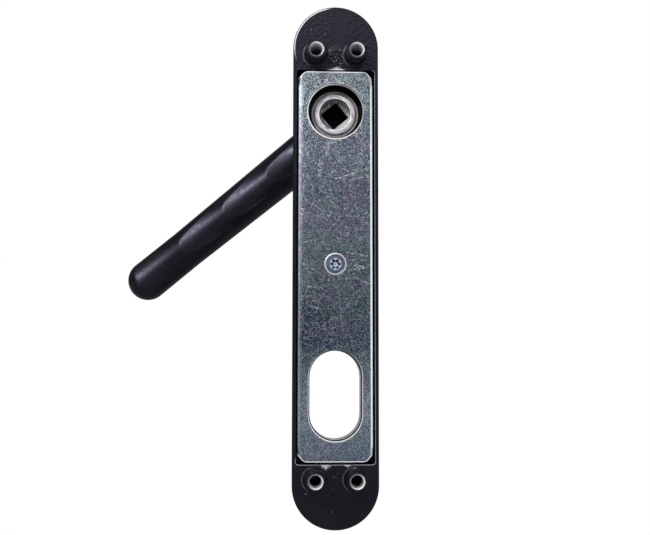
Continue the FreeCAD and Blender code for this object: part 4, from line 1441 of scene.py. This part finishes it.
@dataclass
class Lever:
    """The lever's casting: shoulder, neck, elbow and a tapering grip with finger scallops."""

    columns: int = 192
    neck: float = 9.45
    neck_start: float = 10.05
    bore: float = 7.75
    bore_end: float = 29.05
    shoulder: float = 12.3
    shoulder_face: float = 17.9
    shoulder_top: float = 20.9
    shoulder_round: float = 1.0
    neck_fillet: float = 0.8
    # The grip: depth of its axis, reach, the elbow's radius, and its own radii and where they are.
    depth: float = 42.7
    length: float = 112.2
    elbow: float = 16.0
    root: float = 9.625
    waist: float = 8.425
    waist_reach: float = 82.0
    tip: float = 8.55
    tip_radius: float = 8.5
    step: float = 0.4
    # Ridges between the scallops: the first one's reach, how far apart, and how deep below the grip.
    ridge_first: float = 35.88
    ridge_pitch: float = 23.95
    ridge_depth: float = 0.24
    ridge_softness: float = 0.035
    # How far the ridges bow towards the tip, over which half width, and where across the grip they turn.
    bow: float = 6.5
    bow_half: float = 5.9
    bow_middle: float = -1.2
    bow_end: float = 1.06
    # Scallops: how many full ones, how far they sink, and their crowns' radii at start and end.
    full_scallops: int = 3
    sag: float = 0.7
    crown: tuple = (7.6, 14.5)
    tip_crown: tuple = (7.8, 9.4)
    near_start: float = 14.0
    near_sag: float = 0.75
    near_crown: tuple = (9.0, 23.0)
    near_rise: tuple = (11.0, 16.0)
    near_drop: float = 4.0
    lean: float = 0.6
    softness: float = 0.12

    def scallop_floor(self, along: np.ndarray, across: np.ndarray) -> np.ndarray:
        """Work out the depth of the scallops' floor.

        It is the deepest of the scallops' surfaces, with the ridges between them rounded. The ridges bow
        towards the tip: at t half widths from the bow's middle they lie bow t^6 nearer the hub. From
        ridge to ridge, with u from 0 to 1, a scallop sinks by 4 sag u (1 - u), and it is crowned across
        the grip by across^2 / (2 crown), with a crown that opens towards the tip. The first scallop fades
        in past the elbow, and the last one runs out straight across at the tip.

        Args:
            along: each point's reach from the hub.
            across: its place across the grip.

        Returns:
            The depths.
        """
        spans = [(self.near_start, self.ridge_first, self.near_sag, self.near_crown)]
        for number in range(self.full_scallops):
            start = self.ridge_first + number * self.ridge_pitch
            crown = self.crown if number < self.full_scallops - 1 else self.tip_crown
            spans.append((start, start + self.ridge_pitch, self.sag, crown))
        bow = self.bow * np.minimum(np.abs(across - self.bow_middle) / self.bow_half, self.bow_end) ** 6
        floor = np.full_like(along, -100.0)
        for number, (start, end, sag, crown) in enumerate(spans):
            is_last = number == self.full_scallops
            straight = is_last * np.clip((along - start) / (end - start), 0.0, 1.0)
            share = (along + bow * (1 - straight) - start) / (end - start)
            dish = 4 * sag * share * (1 - share) + across**2 / (2 * np.interp(share, [0, 1], crown))
            floor = soft_max(floor, dish, self.ridge_softness)
        taper = (self.root - self.waist) / (self.waist_reach - self.elbow)
        rear = self.depth - self.root + (along - self.elbow) * taper + self.ridge_depth
        lean = across * math.tan(math.radians(self.lean))
        return rear + floor + lean - self.near_drop * (1 - smooth_step(along, *self.near_rise))

    def stations(self) -> tuple[np.ndarray, np.ndarray, np.ndarray, np.ndarray]:
        """Follow the lever from its shoulder to its tip.

        The neck rises to the elbow, a quarter circle, and the grip runs on with a straight taper to the
        waist, widens a little to the tip and ends in a dome whose radius falls as the cosine.

        Returns:
            Reach and depth of the centre, heading in degrees (0 along Y, 90 along the grip) and radius.
        """
        bend_start = self.depth - self.elbow
        rise = np.linspace(self.shoulder_top + self.neck_fillet, bend_start, 8)[:-1]
        turn = np.linspace(0, 90, 46)[:-1]
        angle = np.radians(turn)
        bend_radius = self.neck + (self.root - self.neck) * smooth_step(turn, 0, 90)
        dome_start = self.length - self.tip_radius
        along = np.arange(self.elbow, dome_start, self.step)
        reaches = [self.elbow, self.waist_reach, dome_start]
        width = np.interp(along, reaches, [self.root, self.waist, self.tip])
        latitude = np.radians(np.linspace(0, 90, 26))
        reach, height = self.elbow * (1 - np.cos(angle)), bend_start + self.elbow * np.sin(angle)
        dome, dome_width = dome_start + self.tip_radius * np.sin(latitude), self.tip * np.cos(latitude)
        parts = [
            np.broadcast_arrays(0.0, rise, 0.0, self.neck),
            (reach, height, turn, bend_radius),
            np.broadcast_arrays(along, self.depth, 90.0, width),
            np.broadcast_arrays(dome, self.depth, 90.0, dome_width),
        ]
        return tuple(np.concatenate(column) for column in zip(*parts))

    def mesh(self) -> bpy.types.Mesh:
        """Sweep circles along the lever and press the scallops into the side towards the door.

        A point of the sweep is centre + radius (cos t across the heading, sin t across the grip), and its
        depth is then no less than the scallops' floor, rounded where the two meet.

        Returns:
            The lever's mesh.
        """
        turn = angles(self.columns)
        reach, height, heading, radius = (column[:, None] for column in self.stations())
        angle = np.radians(heading)
        side, across = radius * np.cos(turn), radius * np.sin(turn)
        along, deep = reach + side * np.cos(angle), height - side * np.sin(angle)
        pressed = soft_max(deep, self.scallop_floor(along, across), self.softness)
        deep = np.where(along > self.near_rise[0], pressed, deep)
        face, top = self.shoulder_face, self.shoulder_top
        corner, fillet = self.shoulder_round, self.neck_fillet
        rows = [
            (0.0, self.bore_end),
            (self.bore, self.bore_end),
            (self.bore, self.neck_start),
            (self.neck, self.neck_start),
            (self.neck, face),
            (self.shoulder, face),
            *arc((self.shoulder - corner, top - corner), corner, 0, 90, 9),
            *arc((self.neck + fillet, top + fillet), fillet, 270, 180, 7),
        ]
        points = np.concatenate([lathe(rows, self.columns), np.stack([along, deep, across], -1)])
        return closed_grid("lever_casting", turned_to_hub(points))

    def build(self) -> None:
        """Make the lever and let it stand for the CAD one."""
        piece = place_piece(self.mesh(), Body.HANDLE, PowderCoat(), 50)
        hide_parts("lever")


# Studio and camera


@dataclass(frozen=True)
class SoftBox:
    """A lamp behind cloth, aimed at the handle."""

    name: str
    place: tuple
    width: float
    height: float
    power: float
    aim: tuple = (0.0, 0.0, 0.0)

    def build(self) -> None:
        """Hang the lamp and turn it to its aim."""
        lamp = bpy.data.lights.new(self.name, "AREA")
        lamp.shape = "RECTANGLE"
        lamp.size = self.width * MM
        lamp.size_y = self.height * MM
        lamp.energy = self.power
        holder = add_object(self.name, lamp)
        holder.location = Vector(self.place) * MM
        holder.rotation_mode = "QUATERNION"
        holder.rotation_quaternion = (Vector(self.aim) - Vector(self.place)).to_track_quat("-Z", "Y")


@dataclass
class Studio:
    """White surroundings with a pale floor well below the handle, and soft boxes."""

    floor_up: float = -350.0
    floor_half: float = 4000.0
    floor_colour: str = "#f2f2f2"
    # How white the floor glows, near the handle and far away, and how white reflections see it.
    floor_fade: tuple = (420.0, 750.0, 0.55, 1.0)
    floor_level: float = 0.2
    # Strength of the surroundings: for shading, in reflections from the front, and from behind.
    ambient: float = 0.75
    surround: float = 0.07
    behind: tuple = (0.72, 0.95, 0.0, 0.8)
    boxes: tuple = (
        SoftBox("overhead_box", (0, -560, 330), 640, 240, 0.5, (0, 0, 60)),
        SoftBox("key_box", (-315, -493, 430), 140, 140, 3.1),
        SoftBox("left_box", (-470, -390, 20), 260, 340, 0.3),
        SoftBox("right_box", (520, -360, 60), 300, 340, 0.8),
        SoftBox("forward_top_box", (0, -330, 560), 420, 140, 0.5),
        SoftBox("low_front_box", (30, -560, -100), 280, 90, 0.044, (0, 0, -60)),
        SoftBox("far_side_box", (300, 700, 500), 640, 640, 2.6),
    )

    def rays(self, tree: bpy.types.NodeTree) -> tuple[Field, Field]:
        """Whether a ray is seen by the camera, and whether it is a reflection, in a node tree."""
        path = add_node(tree, "LightPath").outputs
        return Field(path["Is Camera Ray"]) | Field(path["Is Transmission Ray"]), Field(path["Is Glossy Ray"])

    def build_floor(self) -> None:
        """Lay the floor: pale paper that fades into the white surroundings but keeps a shadow."""
        half, up = self.floor_half * MM, self.floor_up * MM
        mesh = bpy.data.meshes.new("floor")
        corners = [(-half, -half, up), (half, -half, up), (half, half, up), (-half, half, up)]
        mesh.from_pydata(corners, [], [range(4)])
        floor = add_object("floor", mesh)
        material = bpy.data.materials.new("matt_white_paper")
        tree = empty_tree(material)
        seen, mirrored = self.rays(tree)
        away = add_node(tree, "VectorMath", {0: Surface(tree).place}, operation="LENGTH").outputs["Value"]
        share = seen * Field(away).ramp(*self.floor_fade) | mirrored
        paper = add_node(tree, "BsdfDiffuse", {"Color": self.floor_colour})
        level = mirrored * (self.floor_level - 1.0) + 1.0
        glow = add_node(tree, "Emission", {"Color": "#ffffff", "Strength": level})
        mixed = add_node(tree, "MixShader", {0: share, 1: paper.outputs[0], 2: glow.outputs[0]})
        add_node(tree, "OutputMaterial", {"Surface": mixed.outputs[0]})
        mesh.materials.append(material)

    def build_world(self) -> None:
        """Surround the handle: white where it is seen, paler behind it than in front of it in reflections."""
        world = bpy.data.worlds.new("white_studio")
        bpy.context.scene.world = world
        tree = empty_tree(world)
        seen, mirrored = self.rays(tree)
        heading = add_node(tree, "SeparateXYZ", {0: add_node(tree, "TexCoord").outputs["Generated"]})
        studio = Field(heading.outputs["Y"]).ramp(*self.behind) + self.surround
        level = seen | (studio - self.ambient) * mirrored + self.ambient
        back = add_node(tree, "Background", {"Color": "#ffffff", "Strength": level})
        add_node(tree, "OutputWorld", {"Surface": back.outputs[0]})

    def build(self) -> None:
        """Set up the floor, the surroundings and the lamps."""
        self.build_floor()
        self.build_world()
        for box in self.boxes:
            box.build()


@dataclass
class PhotoCamera:
    """The camera as fitted to the photograph: turn and shift of the fit, and focal length."""

    focal_px: float = 1026.706
    wide_px: float = 650.0
    sensor: float = 36.0
    turn: tuple = (-4.70466, -2.49299, 0.18246)
    shift: tuple = (4.24786, -1.63755, 410.36061)
    clip: tuple = (0.01, 20.0)

    def build(self) -> None:
        """Place the camera.

        The fit maps a point p (right, down, away) to turn p + shift, so the rows of the turn are the
        camera's right, down and forward, and the camera stands at -turn^T shift.
        """
        turn = Vector(math.radians(part) for part in self.turn)
        rows = Matrix.Rotation(turn.length, 3, turn.normalized())
        stand = -(rows.transposed() @ Vector(self.shift))
        right, down, ahead, place = (Vector((v[0], v[2], -v[1])) for v in (*rows, stand))
        lens = bpy.data.cameras.new("photo_camera")
        lens.sensor_width = self.sensor
        lens.lens = self.focal_px / self.wide_px * self.sensor
        lens.clip_start, lens.clip_end = self.clip
        camera = add_object("photo_camera", lens)
        pose = Matrix((right, -down, -ahead)).transposed().to_4x4()
        pose.translation = place * MM
        camera.matrix_world = pose
        bpy.context.scene.camera = camera


def main() -> None:
    """Build the handle, the studio and the camera."""
    logging.basicConfig(level=logging.INFO, format="%(message)s")
    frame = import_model()
    CoverPlate().build(frame)
    RearPlate().build(frame)
    SpindleDrive().build(frame)
    Lever().build()
    Studio().build()
    PhotoCamera().build()
    bpy.context.scene.view_settings.view_transform = "Standard"
    bpy.context.view_layer.update()


if __name__ == "__main__":
    main()
